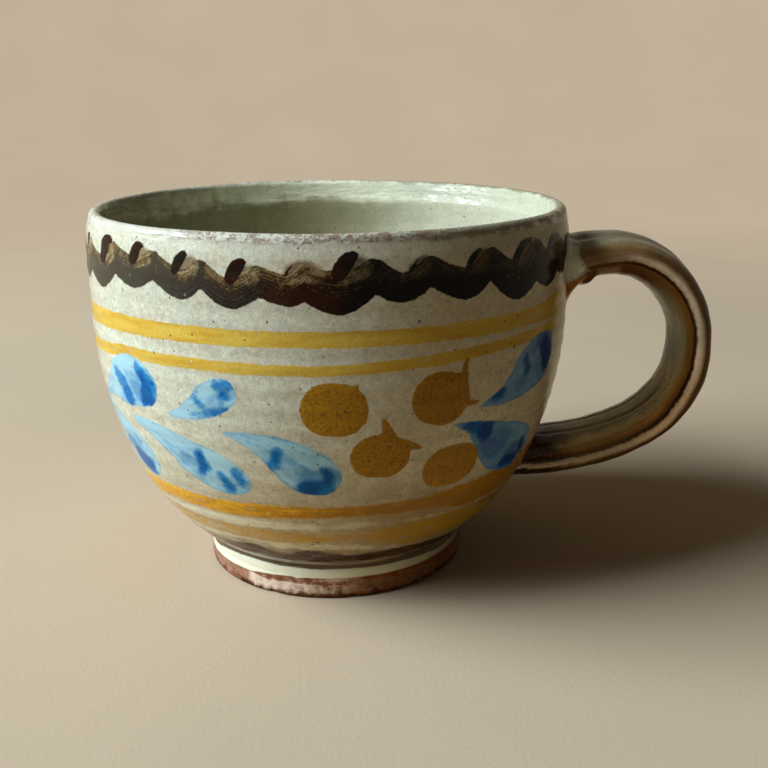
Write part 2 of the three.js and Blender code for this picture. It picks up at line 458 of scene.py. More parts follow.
# %% Places of the leaves, pools and berries
leaf_stops = {
    "stalk": [(-166, 37.0, 0.3), (-160, 38.2, 0.6), (-154, 39.8, 1.1), (-149, 41.4, 2.3),
              (-143.6, 43.1, 4.3), (-139, 43.9, 4.6), (-135.3, 43.8, 3.9)],
    "small": [(-128, 39.7, 0.3), (-124, 40.4, 1.1), (-119.5, 42.0, 2.1), (-116, 43.7, 2.9),
              (-113.2, 44.9, 2.6)],
    "long": [(-141.4, 36.5, 0.8), (-136, 35.8, 1.5), (-130, 34.2, 2.6), (-124.5, 31.9, 3.8),
             (-120, 30.5, 4.3), (-117, 29.6, 4.1), (-114.2, 28.9, 3.2)],
    "middle": [(-113.5, 37.9, 0.4), (-108, 37.0, 1.5), (-103, 35.3, 2.9), (-99, 33.2, 4.0),
               (-96, 31.5, 4.5), (-93.8, 30.5, 3.8)],
    "edge": [(-160, 37.5, 0.4), (-156, 35.0, 2.0), (-151, 31.5, 4.2), (-147, 29.5, 5.0),
             (-144.5, 28.8, 4.4)],
    "rising": [(-56.8, 40.6, 0.3), (-51, 41.3, 1.5), (-46.5, 42.6, 2.8), (-42, 44.6, 4.4),
               (-38, 45.6, 4.8), (-35.5, 46.3, 4.1)],
    "drooping": [(-63.2, 38.1, 0.3), (-58.5, 36.9, 1.2), (-53.5, 34.5, 2.8), (-49.5, 32.4, 4.1),
                 (-45, 30.7, 4.9), (-40, 29.6, 4.6), (-38.5, 29.2, 4.2)],
}
pool_stops = {
    "stalk": [[(-146.4, 44.6, 1.0), (-143.2, 42.2, 1.5), (-141.6, 39.9, 1.2)],
              [(-136.4, 46.9, 0.6), (-133.7, 44.9, 1.5), (-133.1, 42.9, 1.9), (-135.6, 41.0, 0.8)]],
    "small": [[(-114.2, 46.0, 0.7), (-111.0, 46.6, 0.7)],
              [(-113.2, 44.6, 0.4), (-111.8, 44.4, 0.4)],
              [(-122, 40.2, 0.2), (-117, 41.2, 0.35), (-112.6, 42.3, 0.3)],
              [(-120, 43.5, 0.3), (-118.4, 42.4, 0.3)]],
    "long": [[(-121.6, 32.8, 0.8), (-121.1, 31.2, 1.1), (-122.2, 29.8, 0.8)],
             [(-117.0, 29.6, 0.7), (-115.4, 27.2, 0.8)],
             [(-113.2, 31.0, 0.6), (-111.8, 28.6, 0.8)]],
    "middle": [[(-102.6, 35.2, 0.7), (-103.4, 33.0, 0.9)], [(-96.8, 28.5, 1.4), (-92.0, 28.4, 1.5)],
               [(-92.6, 32.2, 0.5), (-91.6, 30.6, 0.8)]],
    "edge": [[(-148, 28.0, 1.6), (-144, 26.8, 1.8)]],
    "rising": [[(-38.2, 49.4, 0.9), (-34.8, 47.2, 2.2), (-33.2, 44.4, 1.6)],
               [(-43.4, 46.7, 0.8), (-42.8, 44.8, 1.0)], [(-54, 41.4, 0.6), (-51.4, 42.0, 1.0)]],
    "drooping": [[(-61, 37.7, 0.5), (-57, 36.5, 1.2), (-53.8, 35.3, 1.5)],
                 [(-43.2, 27.3, 1.2), (-38.4, 26.9, 1.2)],
                 [(-36.8, 30.4, 0.7), (-36.2, 28.8, 0.8)]],
}
shade_stops = {
    "stalk": [[(-139, 43.5, 1.6), (-135, 43.4, 2.6)]],
    "long": [[(-126, 31.6, 1.6), (-122, 31.4, 2.2)]],
    "middle": [[(-97, 30.0, 2.0), (-92.5, 30.6, 2.2)]],
    "edge": [[(-150, 30.0, 2.6), (-145, 28.4, 3.2)]],
    "rising": [[(-37, 46.5, 2.8), (-34.5, 45.5, 2.8)]],
    "drooping": [[(-55, 35.2, 1.6), (-50.5, 32.8, 3.0), (-48.5, 31.6, 2.6)],
                 [(-42, 28.8, 2.0), (-37.5, 28.6, 2.4)]],
}
berry_stops = [
    [(-91, 42.8, 4.6), (-89, 42.7, 4.6)],
    [(-86.0, 44.3, 1.0), (-84.7, 41.6, 1.0), (-84.5, 40.6, 0.8)],
    [(-86.7, 44.4, 1.2), (-85.3, 46.9, 0.3)],
    [(-68.3, 43.4, 4.5), (-66.4, 43.0, 4.6)],
    [(-62.6, 45.0, 1.1), (-61.8, 49.3, 0.4)],
    [(-62.6, 41.9, 0.9), (-57.6, 41.4, 0.3)],
    [(-81.3, 34.1, 4.1), (-79, 33.9, 4.1)],
    [(-78.4, 37.2, 1.3), (-79.8, 40.6, 0.4)],
    [(-77.6, 36.6, 1.0), (-74.5, 35.9, 0.8), (-71.4, 35.0, 0.5)],
    [(-64, 30.2, 4.3), (-60.6, 30.2, 4.3)],
]
extra_leaves = {"small": 290, "middle": 275}
print("kinds of leaf:", ", ".join(leaf_stops))

# %% Lay out the sprays
HALF_TURN, FULL_TURN = 180, 360


def twice(strokes):
    """The strokes of the front, and the same again on the back."""
    return [stroke(*turned_by(turn, stops)) for stops in strokes for turn in (0, HALF_TURN)]


def spray(groups):
    """Every group's strokes twice, and the extra leaves' once more."""
    laid = twice([stops for group in groups.values() for stops in group])
    for name, turn in extra_leaves.items():
        laid.extend(stroke(*turned_by(turn, stops)) for stops in groups.get(name, []))
    return laid


leaves = spray({name: [stops] for name, stops in leaf_stops.items()})
pools, shades, berries = spray(pool_stops), spray(shade_stops), twice(berry_stops)
print(len(leaves), "leaves,", len(pools), "pools and", len(berries), "dabs of berry")

# %% [markdown]
# ### The combed wave
#
# A wide brush of manganese brown was walked round the shoulder in waves. It rests in each
# trough, so the lower edge is round there, and flicks over at each crest, where the hairs part:
# one side leaves a dark hook, the other the band itself, and a thin streaky wash lies between. The
# band begins and ends at the handle.

# %% The wave, its hooks and the thin wash between them
wave_turns = [
    (-162, 61.5, 2.7), (-155.5, 63.5, 2.2), (-149, 61.55, 2.85), (-142.0, 64.6, 2.4),
    (-134.5, 62.75, 2.65), (-128.4, 64.6, 2.1), (-121.0, 61.9, 2.45), (-116.4, 64.1, 1.75),
    (-109.8, 60.95, 2.35), (-104.4, 63.2, 2.2), (-98.3, 61.75, 2.45), (-95.2, 63.0, 2.5),
    (-88.5, 61.35, 3.45), (-81.9, 63.95, 2.4), (-76, 61.7, 2.3), (-70.4, 64.2, 2.15),
    (-62, 61.45, 2.55), (-56.0, 64.5, 2.2), (-47.5, 60.55, 3.2), (-41.2, 63.7, 2.95),
    (-35.5, 61.15, 3.0), (-30.4, 63.75, 3.0), (-25.2, 61.8, 2.7), (-21.6, 64.4, 1.5),
]
wave_link = [
    (164, 61.7, 2.4), (171, 63.7, 2.4), (178, 61.7, 2.5), (184.5, 63.8, 2.3), (190, 61.6, 2.5),
    (194.5, 63.4, 2.3),
]
hook_stops = [
    [(-160.2, 64.8, 1.1), (-159.2, 66.2, 1.0), (-157.2, 66.9, 0.5)],
    [(-147.0, 64.4, 1.6), (-146.0, 66.2, 1.7), (-144.4, 67.0, 1.1), (-142.9, 67.1, 0.6)],
    [(-134.4, 65.0, 1.3), (-133.4, 66.4, 1.3), (-132.3, 67.1, 0.9), (-130.9, 67.2, 0.4)],
    [(-122.3, 64.1, 1.0), (-121.2, 65.6, 1.1), (-120.1, 66.5, 0.8), (-119.2, 66.6, 0.4)],
    [(-109.8, 63.3, 1.1), (-108.6, 64.8, 1.4), (-107.4, 65.7, 0.9), (-106.6, 65.9, 0.4)],
    [(-98.8, 64.0, 0.5), (-97.4, 65.5, 0.35), (-95.8, 65.9, 0.3), (-93.4, 65.3, 0.3)],
    [(-88.6, 64.2, 1.3), (-87.2, 65.8, 1.5), (-85.9, 66.7, 1.0), (-84.8, 66.8, 0.45)],
    [(-74.8, 63.9, 0.5), (-73.5, 65.3, 0.5), (-72.4, 66.3, 0.3)],
    [(-61.8, 63.9, 0.8), (-60.4, 65.6, 0.8), (-58.5, 66.6, 0.45)],
    [(-48.8, 63.8, 1.1), (-47.0, 65.7, 1.0), (-45.0, 66.6, 0.7), (-41.5, 66.6, 0.5),
     (-39.5, 65.5, 0.4)],
    [(-36.0, 63.8, 1.0), (-34.6, 65.5, 0.9), (-32.6, 66.4, 0.6)],
]
thin_stops = [
    [(-158.6, 64.6, 1.2), (-156.6, 65.2, 1.2)],
    [(-145.3, 65.0, 1.5), (-143.6, 65.2, 1.5)],
    [(-133.0, 65.3, 1.3), (-130.4, 65.5, 1.1)],
    [(-120.4, 64.6, 1.2), (-118.4, 64.9, 1.1)],
    [(-108.0, 63.9, 1.2), (-105.6, 63.9, 1.1)],
    [(-97.4, 64.2, 1.1), (-95.4, 64.7, 1.3), (-93.0, 64.2, 1.0)],
    [(-87.0, 64.6, 1.5), (-84.6, 65.0, 1.5)],
    [(-73.6, 64.3, 0.9), (-71.6, 65.2, 1.0)],
    [(-60.3, 64.2, 1.0), (-58.2, 65.2, 1.1)],
    [(-46.6, 64.2, 1.5), (-43.8, 65.0, 1.6)],
    [(-34.2, 64.4, 1.2), (-32.0, 65.0, 1.2)],
]
print("the wave turns", len(wave_turns), "times on the front")

# %% Lay out the wave
SWEEP_STEPS, TROUGH_ROUNDNESS = 26, 1.6


def wave_band(turns):
    """One sweep from each turn to the next: round in the troughs, a corner at each crest."""
    discs, run = [], 0.0
    share = np.linspace(0, 1, SWEEP_STEPS)
    for start, end in zip(turns, turns[1:]):
        rising = end[1] > start[1]
        lift = share**TROUGH_ROUNDNESS if rising else 1 - (1 - share) ** TROUGH_ROUNDNESS
        azimuth, height, half = (
            low + (high - low) * amount
            for low, high, amount in zip(start, end, (share, lift, share))
        )
        line = on_wall(azimuth, height)
        steps = run + distances(line)
        run = steps[-1]
        discs.append(np.column_stack([line, half, steps]))
    return discs


wave_back = turned_by(HALF_TURN, wave_turns)
wave = [
    *wave_band(wave_turns),
    *wave_band(wave_back),
    *wave_band([wave_back[-1], *wave_link, *turned_by(FULL_TURN, wave_turns[:1])]),
]
hooks, thins = twice(hook_stops), twice(thin_stops)
print("the wave has", len(wave), "sweeps and", len(hooks), "hooks")

# %% [markdown]
# ### Lines round the wheel
#
# The ochre lines were drawn with the brush held still while the wheel turned, so they run level
# but drift and swell a little. Each is written as its lower and upper edge at a few azimuths.
# The dregs are the brown streaks low on the wall, where colour ran down and gathered.

# %% Lines round the wheel
level_lines = {
    "shoulder": [(-160, 51.3, 54.6), (-150, 51.8, 55.0), (-140, 52.2, 55.2), (-120, 52.7, 55.5),
                 (-100, 52.9, 55.4), (-60, 52.7, 55.4), (-45, 52.6, 55.3), (-31, 52.2, 56.2),
                 (-18, 51.8, 56.6), (20, 52.6, 55.6), (100, 52.9, 55.5), (160, 52.2, 55.1)],
    "upper": [(-160, 46.3, 48.6), (-150, 47.0, 49.1), (-140, 47.9, 50.0), (-120, 48.4, 50.3),
              (-90, 48.4, 50.1), (-70, 48.9, 50.8), (-50, 49.6, 51.5), (-30, 49.8, 51.8),
              (20, 49.2, 51.0), (100, 48.6, 50.4), (160, 47.4, 49.4)],
    "lower": [(-160, 19.0, 22.8), (-150, 19.5, 23.6), (-140, 21.0, 24.0), (-120, 20.8, 24.0),
              (-110, 21.2, 24.4), (-90, 22.0, 24.3), (-70, 21.8, 24.5), (-60, 21.0, 25.3),
              (-50, 19.0, 25.8), (-30, 15.5, 27.5), (0, 16.0, 27.0), (25, 19.0, 25.0),
              (60, 21.5, 24.1), (150, 20.8, 23.0)],
    "wash": [(-160, 14.4, 16.4), (-135, 15.3, 18.3), (-108, 15.3, 18.3), (-95, 15.8, 18.0),
             (-85, 16.2, 17.6), (-78, 15.0, 18.2), (-70, 13.2, 19.4), (-58, 13.0, 19.8),
             (-48, 13.6, 18.2), (-30, 12.8, 17.5), (20, 13.5, 17.5), (80, 15.6, 18.0),
             (150, 14.8, 16.8)],
    "slip": [(-150, 18.7, 19.4), (-135, 18.5, 19.9), (-126, 18.4, 20.4), (-108, 18.7, 20.5),
             (-100, 18.9, 20.3), (-84, 19.2, 20.6), (-78, 19.4, 19.8), (-40, 19.4, 19.6),
             (60, 18.8, 20.0)],
    "lower_slip": [(-150, 12.6, 14.0), (-128, 12.9, 15.0), (-108, 13.1, 15.0), (-92, 13.4, 15.0),
                   (-84, 13.2, 14.4), (-70, 11.6, 12.6), (-40, 10.8, 11.6), (60, 12.6, 14.4)],
    "dregs": [(-160, 4.0, 6.4), (-150, 4.8, 8.6), (-140, 5.8, 10.4), (-130, 6.8, 11.6),
              (-124, 8.0, 12.2), (-118, 9.8, 13.0), (-115, 10.0, 12.8), (-111, 9.7, 11.2),
              (-108, 9.4, 10.5), (-105, 9.6, 11.1), (-102, 9.7, 12.3), (-98, 9.4, 12.8),
              (-95, 9.0, 12.4), (-90, 8.2, 11.6), (-87, 8.0, 11.0), (-80, 9.0, 11.4),
              (-70, 9.0, 11.6), (-60, 7.6, 11.6), (-45, 6.6, 11.0), (-35, 6.4, 10.4),
              (10, 8.4, 10.6), (50, 9.4, 11.8), (70, 9.2, 10.4), (95, 9.8, 12.4),
              (120, 9.0, 10.4), (150, 7.4, 9.8), (175, 5.2, 6.4)],
}


def round_wheel(stops, azimuth):
    """Each value of the stops at any azimuth, round and round."""
    turns, *columns = np.array(stops).T
    return [np.interp(azimuth, turns, column, period=FULL_TURN) for column in columns]


def line_depth(stops, azimuth, height):
    """How far inside a level line each point lies."""
    low, high = round_wheel(stops, azimuth)
    inside = (high - low) / 2 - abs(height - (low + high) / 2)
    return np.clip(inside, -STROKE_REACH, STROKE_REACH)


def line_place(stops, azimuth, height):
    """The place across a level line: 0 at its lower edge and 1 at its upper edge."""
    low, high = round_wheel(stops, azimuth)
    return np.clip((height - low) / (high - low), -3, 4)


print("level lines:", ", ".join(level_lines))

# %% [markdown]
# ## Turned meshes
#
# Rows of (radius, height) are spun round the axis into rings of points, and quads join each ring
# to the next. A mesh keeps its points in millimetres from the bowl's axis until the last moment,
# so the strokes can be laid on them, and small values are then stored on the points by name.

# %% Meshes by turning
def make_piece(name, points, faces, values=None, axis=BOWL_AXIS):
    """A smooth mesh object in the row frame, with named values at its points."""
    mesh = bpy.data.meshes.new(name)
    mesh.from_pydata(((points + (axis, 0, 0)) * MM).tolist(), [], faces)
    mesh.shade_smooth()
    for key, numbers in (values or {}).items():
        layer = mesh.attributes.new(key, "FLOAT", "POINT")
        layer.data.foreach_set("value", np.asarray(numbers, np.float32))
    piece = bpy.data.objects.new(name, mesh)
    bpy.context.scene.collection.objects.link(piece)
    print(name, "has", len(points), "points and", len(faces), "faces")
    return piece


def ring_faces(rings, size):
    """Quads between rings of points that lie one after the other."""
    place = np.arange(size)
    faces = []
    for start in range(0, (rings - 1) * size, size):
        here, beside = start + place, start + (place + 1) % size
        faces.extend(np.stack([here, beside, beside + size, here + size], axis=1).tolist())
    return faces


def flipped(faces):
    return [tuple(reversed(face)) for face in faces]


def turn_rows(rows, turns):
    """The radius, height and azimuth in degrees of each row's points, spun round the axis."""
    azimuth = np.tile(np.arange(turns) * FULL_TURN / turns - HALF_TURN, len(rows))
    radius, height = np.repeat(rows, turns, axis=0).T
    return radius, height, azimuth


def spin(radius, height, azimuth):
    turn = np.radians(azimuth)
    return np.stack([radius * np.cos(turn), radius * np.sin(turn), height], axis=1)


print("two rings of 8 points make", len(ring_faces(2, 8)), "faces")

# %% [markdown]
# ## The bowl
#
# The real bowl was pulled up from the wheel, so its faces carry faint spiral rings, stronger
# inside, where no slip and brushwork hide them, and its lip is not quite level. Colour and slip
# also stand a hair above the ground they are laid on. All of that is modelled in the points;
# only the grain of the glaze is left to a bump.

# %% The bowl's rows
TURNS = 512
UNDER_SPACING, OUTER_SPACING, FINE_SPACING, COARSE_SPACING = 1.9, 0.62, 0.42, 1.95
STEP_HEIGHT = 65.6
FINE_FROM = STEP_HEIGHT - 2.3

lip_centre = (LIP_OUTER_RADIUS - LIP_THICKNESS / 2, LIP_HEIGHT)
lip_angles = np.linspace(0, 180, 9)
lip_round = np.array([polar(lip_centre, LIP_THICKNESS / 2, angle) for angle in lip_angles])
inner_lip = (LIP_OUTER_RADIUS - LIP_THICKNESS, LIP_HEIGHT)
inner_belly = (BELLY_RADIUS - WALL_THICKNESS, BELLY_HEIGHT)
floor_edge = (FLOOR_RADIUS, BASE_PLANE + FLOOR_THICKNESS + FLOOR_DISH)
floor_middle = (0.0, BASE_PLANE + FLOOR_THICKNESS)
inside = np.vstack([
    bezier(
        inner_lip,
        (inner_lip[0], LIP_HEIGHT - LIP_TANGENT),
        (inner_belly[0], BELLY_HEIGHT + LIP_TANGENT),
        inner_belly,
    ),
    bezier(
        inner_belly,
        (inner_belly[0], BELLY_HEIGHT - INNER_BELLY_TANGENT),
        (FLOOR_RADIUS + INNER_FLOOR_TANGENT, floor_edge[1] + FLOOR_DISH),
        floor_edge,
    )[1:],
    [floor_middle],
])
underside = [(0.0, BASE_PLANE + UNDERSIDE_DOME), (UNDERSIDE_RADIUS, BASE_PLANE), spring]

under_rows = even(underside, UNDER_SPACING)[1:-1]
outer_rows = even(outside, OUTER_SPACING)
fine_rows, coarse_rows = even(inside, FINE_SPACING)[1:], even(inside, COARSE_SPACING)[:-1]
rows = np.vstack([
    under_rows,
    outer_rows,
    lip_round[1:],
    fine_rows[fine_rows[:, 1] > FINE_FROM],
    coarse_rows[coarse_rows[:, 1] < FINE_FROM - 0.3],
])
outer_start = len(under_rows)
outer_end = outer_start + len(outer_rows)
inner_start = outer_end + len(lip_round) - 1
print(len(rows), "rows of", TURNS, "points")

# %% Lay the strokes on the wall's points
radius, height, azimuth = turn_rows(rows, TURNS)
row_of = np.repeat(np.arange(len(rows)), TURNS)
is_outer = (row_of >= outer_start) & (row_of < outer_end)
is_inner = row_of >= inner_start
is_under = row_of < outer_start

ground = spin(radius, height, azimuth)
all_strokes = {
    "wave": wave, "hook": hooks, "thin": thins, "leaf": leaves, "pool": pools, "shade": shades,
    "berry": berries,
}
wall_values = {}
for name, strokes in all_strokes.items():
    depth, along, across = lay(ground, strokes)
    wall_values[name] = np.where(is_outer, depth, -STROKE_REACH)
    if name in ("wave", "leaf"):
        wall_values[name + "_along"] = np.where(is_outer, along, 0)
        wall_values[name + "_across"] = np.where(is_outer, across, 0)
for name, stops in level_lines.items():
    depth = line_depth(stops, azimuth, height)
    wall_values["line_" + name] = np.where(is_outer, depth, -STROKE_REACH)
wall_values["dregs_place"] = line_place(level_lines["dregs"], azimuth, height)

outline_run = distances(rows)
lip_crest = outline_run[outer_end + len(lip_round) // 2 - 1]
wear_stops = [
    (-180, 0.25), (-140, 0.15), (-128, 0.2), (-116, 0.9), (-70, 1.0), (-56, 0.45), (-20, 0.3),
    (60, 0.7), (120, 0.8),
]
wall_values["from_lip"] = np.repeat(lip_crest - outline_run, TURNS)
wall_values["inside"] = is_inner.astype(float)
wall_values["underside"] = is_under.astype(float)
wall_values["wear"] = round_wheel(wear_stops, azimuth)[0]
print("values at each point:", ", ".join(wall_values))

# %% Throwing rings and a slightly uneven lip
OUTER_RING, OUTER_PITCH, INNER_RING, INNER_PITCH = 0.05, 3.4, 0.16, 4.6
LOW_SWELL, BELLY_ROOM, STEP = 0.25, 0.19, 0.8
LIP_TOP = 69
# How proud each kind of stroke stands, and how far inside its edge it stands so.
PROUD = {
    "wave": (0.07, 0.5), "hook": (0.05, 0.4), "berry": (0.05, 0.5), "leaf": (0.03, 0.5),
    "line_shoulder": (0.03, 0.4), "line_upper": (0.03, 0.4), "line_lower": (0.03, 0.4),
}

turn = np.radians(azimuth)
outer_rings = OUTER_RING * np.sin(2 * np.pi * (height / OUTER_PITCH) + turn)
outer_rings *= smooth(height, 8, 16)
outer_rings += LOW_SWELL * hump(height, 20, 9) * (0.5 + 0.5 * np.cos(2 * turn))
outer_rings -= BELLY_ROOM * hump(height, BELLY_HEIGHT + 2, 8)

inner_rings = INNER_RING * np.sin(2 * np.pi * (height / INNER_PITCH) - turn)
inner_rings *= smooth(height, 14, 22) * (1 - smooth(height, 60, 64))
step_at = STEP_HEIGHT + 0.22 * np.sin(2 * turn + 0.7) + 0.08 * np.sin(7 * turn)
step_slope = 0.35 * smooth(height, step_at, step_at + 1.3)
step_slope += 0.65 * np.clip((height - step_at) / (LIP_TOP - step_at), 0, 1)
inner_rings += STEP * (smooth(height, step_at - 5.5, step_at + 0.2) - step_slope)

sway = 0.05 * np.cos(2 * turn + 0.6) + 0.03 * np.cos(3 * turn - 1.1)
sway *= smooth(height, 8, 30)
relief = sum(
    proud * smooth(wall_values[name], -0.2, full) for name, (proud, full) in PROUD.items()
)
shift = np.where(is_under, 0, np.where(is_inner, -inner_rings, outer_rings + relief) + sway)
lip_dip = 0.10 + 0.05 * np.cos(2 * turn - 0.4) + 0.03 * np.cos(5 * turn + 1)
lip_dip += 0.02 * np.cos(11 * turn)
bowl_points = spin(
    radius + shift * smooth(radius, 20, 26),
    height - lip_dip * smooth(height, 62, CUP_HEIGHT),
    azimuth,
)
print("the lip dips by", round(lip_dip.min(), 2), "to", round(lip_dip.max(), 2), "mm")

# %% Make the bowl
faces = ring_faces(len(rows), TURNS)
poles = np.array([[0, 0, underside[0][1]], [0, 0, floor_middle[1]]])
first, last = len(bowl_points), len(bowl_points) + 1
end_row = (len(rows) - 1) * TURNS
for i in range(TURNS):
    beside = (i + 1) % TURNS
    faces.append((beside, i, first))
    faces.append((end_row + i, end_row + beside, last))
for name, numbers in wall_values.items():
    wall_values[name] = np.concatenate([numbers, (numbers[0], numbers[-1])])
bowl = make_piece("painted_bowl", np.vstack([bowl_points, poles]), faces, wall_values)
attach(bowl, "root")
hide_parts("bowl")

# %% [markdown]
# ### The painted glaze
#
# The ground is a pale grey-green glaze over cream slip. It is thickest and greenest near the
# top and thins to a pinkish beige low down, where the slip barely hides the clay. Fine grain,
# pinholes and iron specks break it up. Each colour is then laid over the ground by its own mask:
# the depth of its stroke, ruffled by noise.

# %% Mix the ground of the painted glaze
glaze = Finish("painted_glaze")
up, across = glaze.along("Z"), glaze.along("X")
grain = glaze.cloud(0.26, detail=2, rough=0.7)
crumb = glaze.cloud(0.9, detail=3, shift=17)
mottle = glaze.cloud(3.2, detail=4)
drift = glaze.cloud(16, detail=3)
streak = glaze.cloud(1.1, detail=3, stretch=(6, 6, 0.8))
ruffle = glaze.cloud(1.3, detail=2) * 0.30 + glaze.cloud(0.45, detail=2, shift=5) * 0.14


def edge(name, blur=0.12, ragged=1.0, grown=0.0):
    """The mask of one kind of stroke, grown by some millimetres, with its edge ruffled."""
    return (glaze.painted(name) + grown + ruffle * ragged).rise(-blur, blur)


CREAM, BEIGE, TAN = (0.71, 0.71, 0.585), (0.58, 0.46, 0.31), (0.62, 0.42, 0.22)
GREEN_GREY, ROSY = (0.62, 0.65, 0.53), (0.74, 0.61, 0.47)
thin_glaze = glaze.blend(BEIGE, TAN, (across + mottle * 6).rise(-12, 12))
rosy = glaze.cloud(4.5, detail=3, shift=23).rise(-0.1, 0.4)
colour = glaze.layers(
    CREAM,
    (thin_glaze, (up + drift * 10 + mottle * 3).fall(12, 42)),
    (GREEN_GREY, (drift + mottle * 0.5).rise(-0.05, 0.4) * 0.45),
    (ROSY, rosy * 0.4 + (across + drift * 20).rise(-14, 18) * 0.45),
)
colour = glaze.tint(colour, 1 + mottle * 0.16 + grain * 0.50 + crumb * 0.34 + streak * 0.06)
glaze.tell("ground")

# %% Mix the ochre lines and the slip between them
OCHRE, DEEP_OCHRE, STAIN = (0.80, 0.54, 0.075), (0.68, 0.37, 0.008), (0.52, 0.27, 0.05)
AMBER, DEEP_AMBER, SLIP_WHITE = (0.90, 0.46, 0.012), (0.60, 0.27, 0.003), (0.90, 0.86, 0.70)
deep = (streak + crumb * 0.6).rise(-0.25, 0.45) * 0.85 + drift * 0.3
ochre = glaze.tint(glaze.blend(OCHRE, DEEP_OCHRE, deep), 1 + grain * 0.35 + crumb * 0.2)
deep = (streak + mottle * 0.5 + (across + 14) * 0.02).rise(-0.3, 0.4)
amber = glaze.tint(glaze.blend(AMBER, DEEP_AMBER, deep), 1 + grain * 0.5 + crumb * 0.3)
unworn = 0.96 - (streak + mottle * 0.6).rise(0.30, 0.62) * 0.45
stained = (across + mottle * 8).rise(-6, 12) * (up + mottle * 4 + streak * 2).fall(19.5, 25)
thick_wash = 0.58 + across.rise(2, 16) * 0.25 + streak + mottle * 0.4
slip_streaks = edge("line_slip", 0.4, 2.2).most(edge("line_lower_slip", 0.5, 2.4))
colour = glaze.layers(
    colour,
    (ochre, edge("line_shoulder").most(edge("line_upper")) * unworn),
    (amber, edge("line_lower", 0.35, 1.6) * unworn),
    (STAIN, stained * (0.5 + streak * 0.5)),
    (DEEP_OCHRE, edge("line_wash", 0.6, 2.4) * thick_wash),
    (SLIP_WHITE, slip_streaks * (streak + mottle * 0.5).rise(-0.7, 0.05) * 0.92),
)
# Painted shade: the lower wall is darkened towards the right, on the side away from the lamp.
shade_low_right = across.rise(-14, 14) * (up + mottle * 3).fall(22, 32)
colour = glaze.tint(colour, 1 - shade_low_right * 0.38)
glaze.tell("ochre lines")

# %% Mix the blue of the leaves
AQUA, SKY, COBALT = (0.40, 0.72, 0.90), (0.09, 0.36, 0.69), (0.004, 0.185, 0.55)
INK, SHADED_BLUE = (0.002, 0.085, 0.33), (0.6, 0.72, 1.0)
run_of_leaf = glaze.painted("leaf_along")
side_of_leaf = glaze.painted("leaf_across")
bristles = glaze.hairs(run_of_leaf * 0.14, side_of_leaf * 2.6, run_of_leaf * 0.02, detail=4)
pooled = (glaze.painted("pool") + ruffle * 1.4 + mottle * 0.6).rise(-0.75, 0.5)
shaded = (glaze.painted("shade") + mottle * 2.2 + ruffle).rise(-1.2, 1.0)
rim = glaze.painted("leaf").fall(0.05, 0.7)
# Painted shade: the blue is deepened and darkened towards the right, away from the lamp, and is
# lightest on the left.
shade_on_right = across.rise(4, 18)
strength = across.rise(-24, -4) * 0.12 + shade_on_right * 0.10 + rim * 0.14
strength += shaded * 0.30 + pooled * 0.54 + bristles * 0.42
strength += mottle * 0.24 + crumb * 0.20 + grain * 0.12
blue = glaze.ramp(strength, [(0, AQUA), (0.38, SKY), (0.70, COBALT), (1, INK)])
blue = glaze.blend(blue, glaze.vector("MULTIPLY", blue, SHADED_BLUE), shade_on_right)
colour = glaze.blend(colour, blue, edge("leaf", 0.2, 0.9) * (0.9 + pooled * 0.1))
glaze.tell("leaves")

# %% Mix the berries and the wave
BERRY, BERRY_DARK = (0.50, 0.235, 0.002), (0.12, 0.050, 0.002)
MANGANESE, RED_BROWN = (0.002, 0.002, 0.002), (0.034, 0.006, 0.001)
SHEEN_GREY, OLIVE, STRAW = (0.072, 0.060, 0.046), (0.25, 0.165, 0.065), (0.58, 0.52, 0.34)
seeds = (glaze.cloud(0.42, detail=2, shift=3) + grain * 0.5).rise(-0.1, 0.4)
berry = glaze.blend(BERRY, BERRY_DARK, seeds * 0.65 + mottle * 0.25)
berry_mask = edge("berry", 0.14, 0.8)

band_across = glaze.painted("wave_across")
teeth = glaze.hairs(glaze.painted("wave_along") * 0.09, band_across * 6.5, detail=5, rough=0.65)
speckle = teeth + crumb * 0.5 + grain * 0.7
hook = edge("hook", 0.12, 0.6, grown=-0.16)
wave_mask = edge("wave", 0.12, 0.8).most(hook)
thin = (glaze.painted("thin") + ruffle).rise(-0.75, 0.15)
parted = thin * (1 - hook)
on_left = across.fall(-12, 10)
reddish = across.near(-5, 3, 9) * 0.8 + (drift + mottle * 0.6).rise(0.1, 0.5) * 0.3
combed = (speckle + mottle * 0.3 + band_across * 0.42).rise(0.16, 0.50)
# SHEEN_GREY is a painted sheen: a grey reflection laid over the wave towards its left end.
brown = glaze.layers(
    MANGANESE,
    (RED_BROWN, reddish),
    (SHEEN_GREY, (across + speckle * 18).fall(-34, -2) * (1 - hook * 0.7)),
    (RED_BROWN, hook * on_left * (speckle + mottle).rise(-0.2, 0.4) * 0.7),
    (OLIVE, combed * (0.22 + on_left * 0.60) * (1 - hook)),
    (OLIVE, parted * speckle.rise(-0.5, 0.2) * (0.30 + on_left * 0.6)),
    (STRAW, parted * speckle.rise(0.0, 0.35) * on_left * 0.5),
)
colour = glaze.layers(
    colour,
    (berry, berry_mask * 0.98),
    (brown, wave_mask.most(thin * 0.9 * speckle.rise(-0.9, -0.1))),
)
glaze.tell("berries and wave")

# %% Mix the dregs low on the wall, and the painted shade near the foot
DREGS, FILM, TAUPE = (0.024, 0.009, 0.002), (0.105, 0.060, 0.028), (0.22, 0.155, 0.10)
LILAC, DEEP_SHADE, SHADED_CREVICE = (0.38, 0.33, 0.28), (0.035, 0.016, 0.004), (0.10, 0.05, 0.022)
near_foot = (up + mottle * 3 + streak * 3).fall(10.8, 15)
colour = glaze.layers(
    colour,
    (TAUPE, near_foot * (0.70 + streak * 0.8 + across.fall(-16, 4) * 0.25)),
    (LILAC, near_foot * (up + mottle).rise(6.4, 7.6) * mottle.rise(-0.05, 0.4) * 0.7),
)
# Painted shade: the wall low down on the left is darkened.
shade_low_left = (up + mottle * 2).fall(8.5, 13.5) * across.fall(-4, 16)
colour = glaze.tint(colour, 1 - shade_low_left * 0.38)

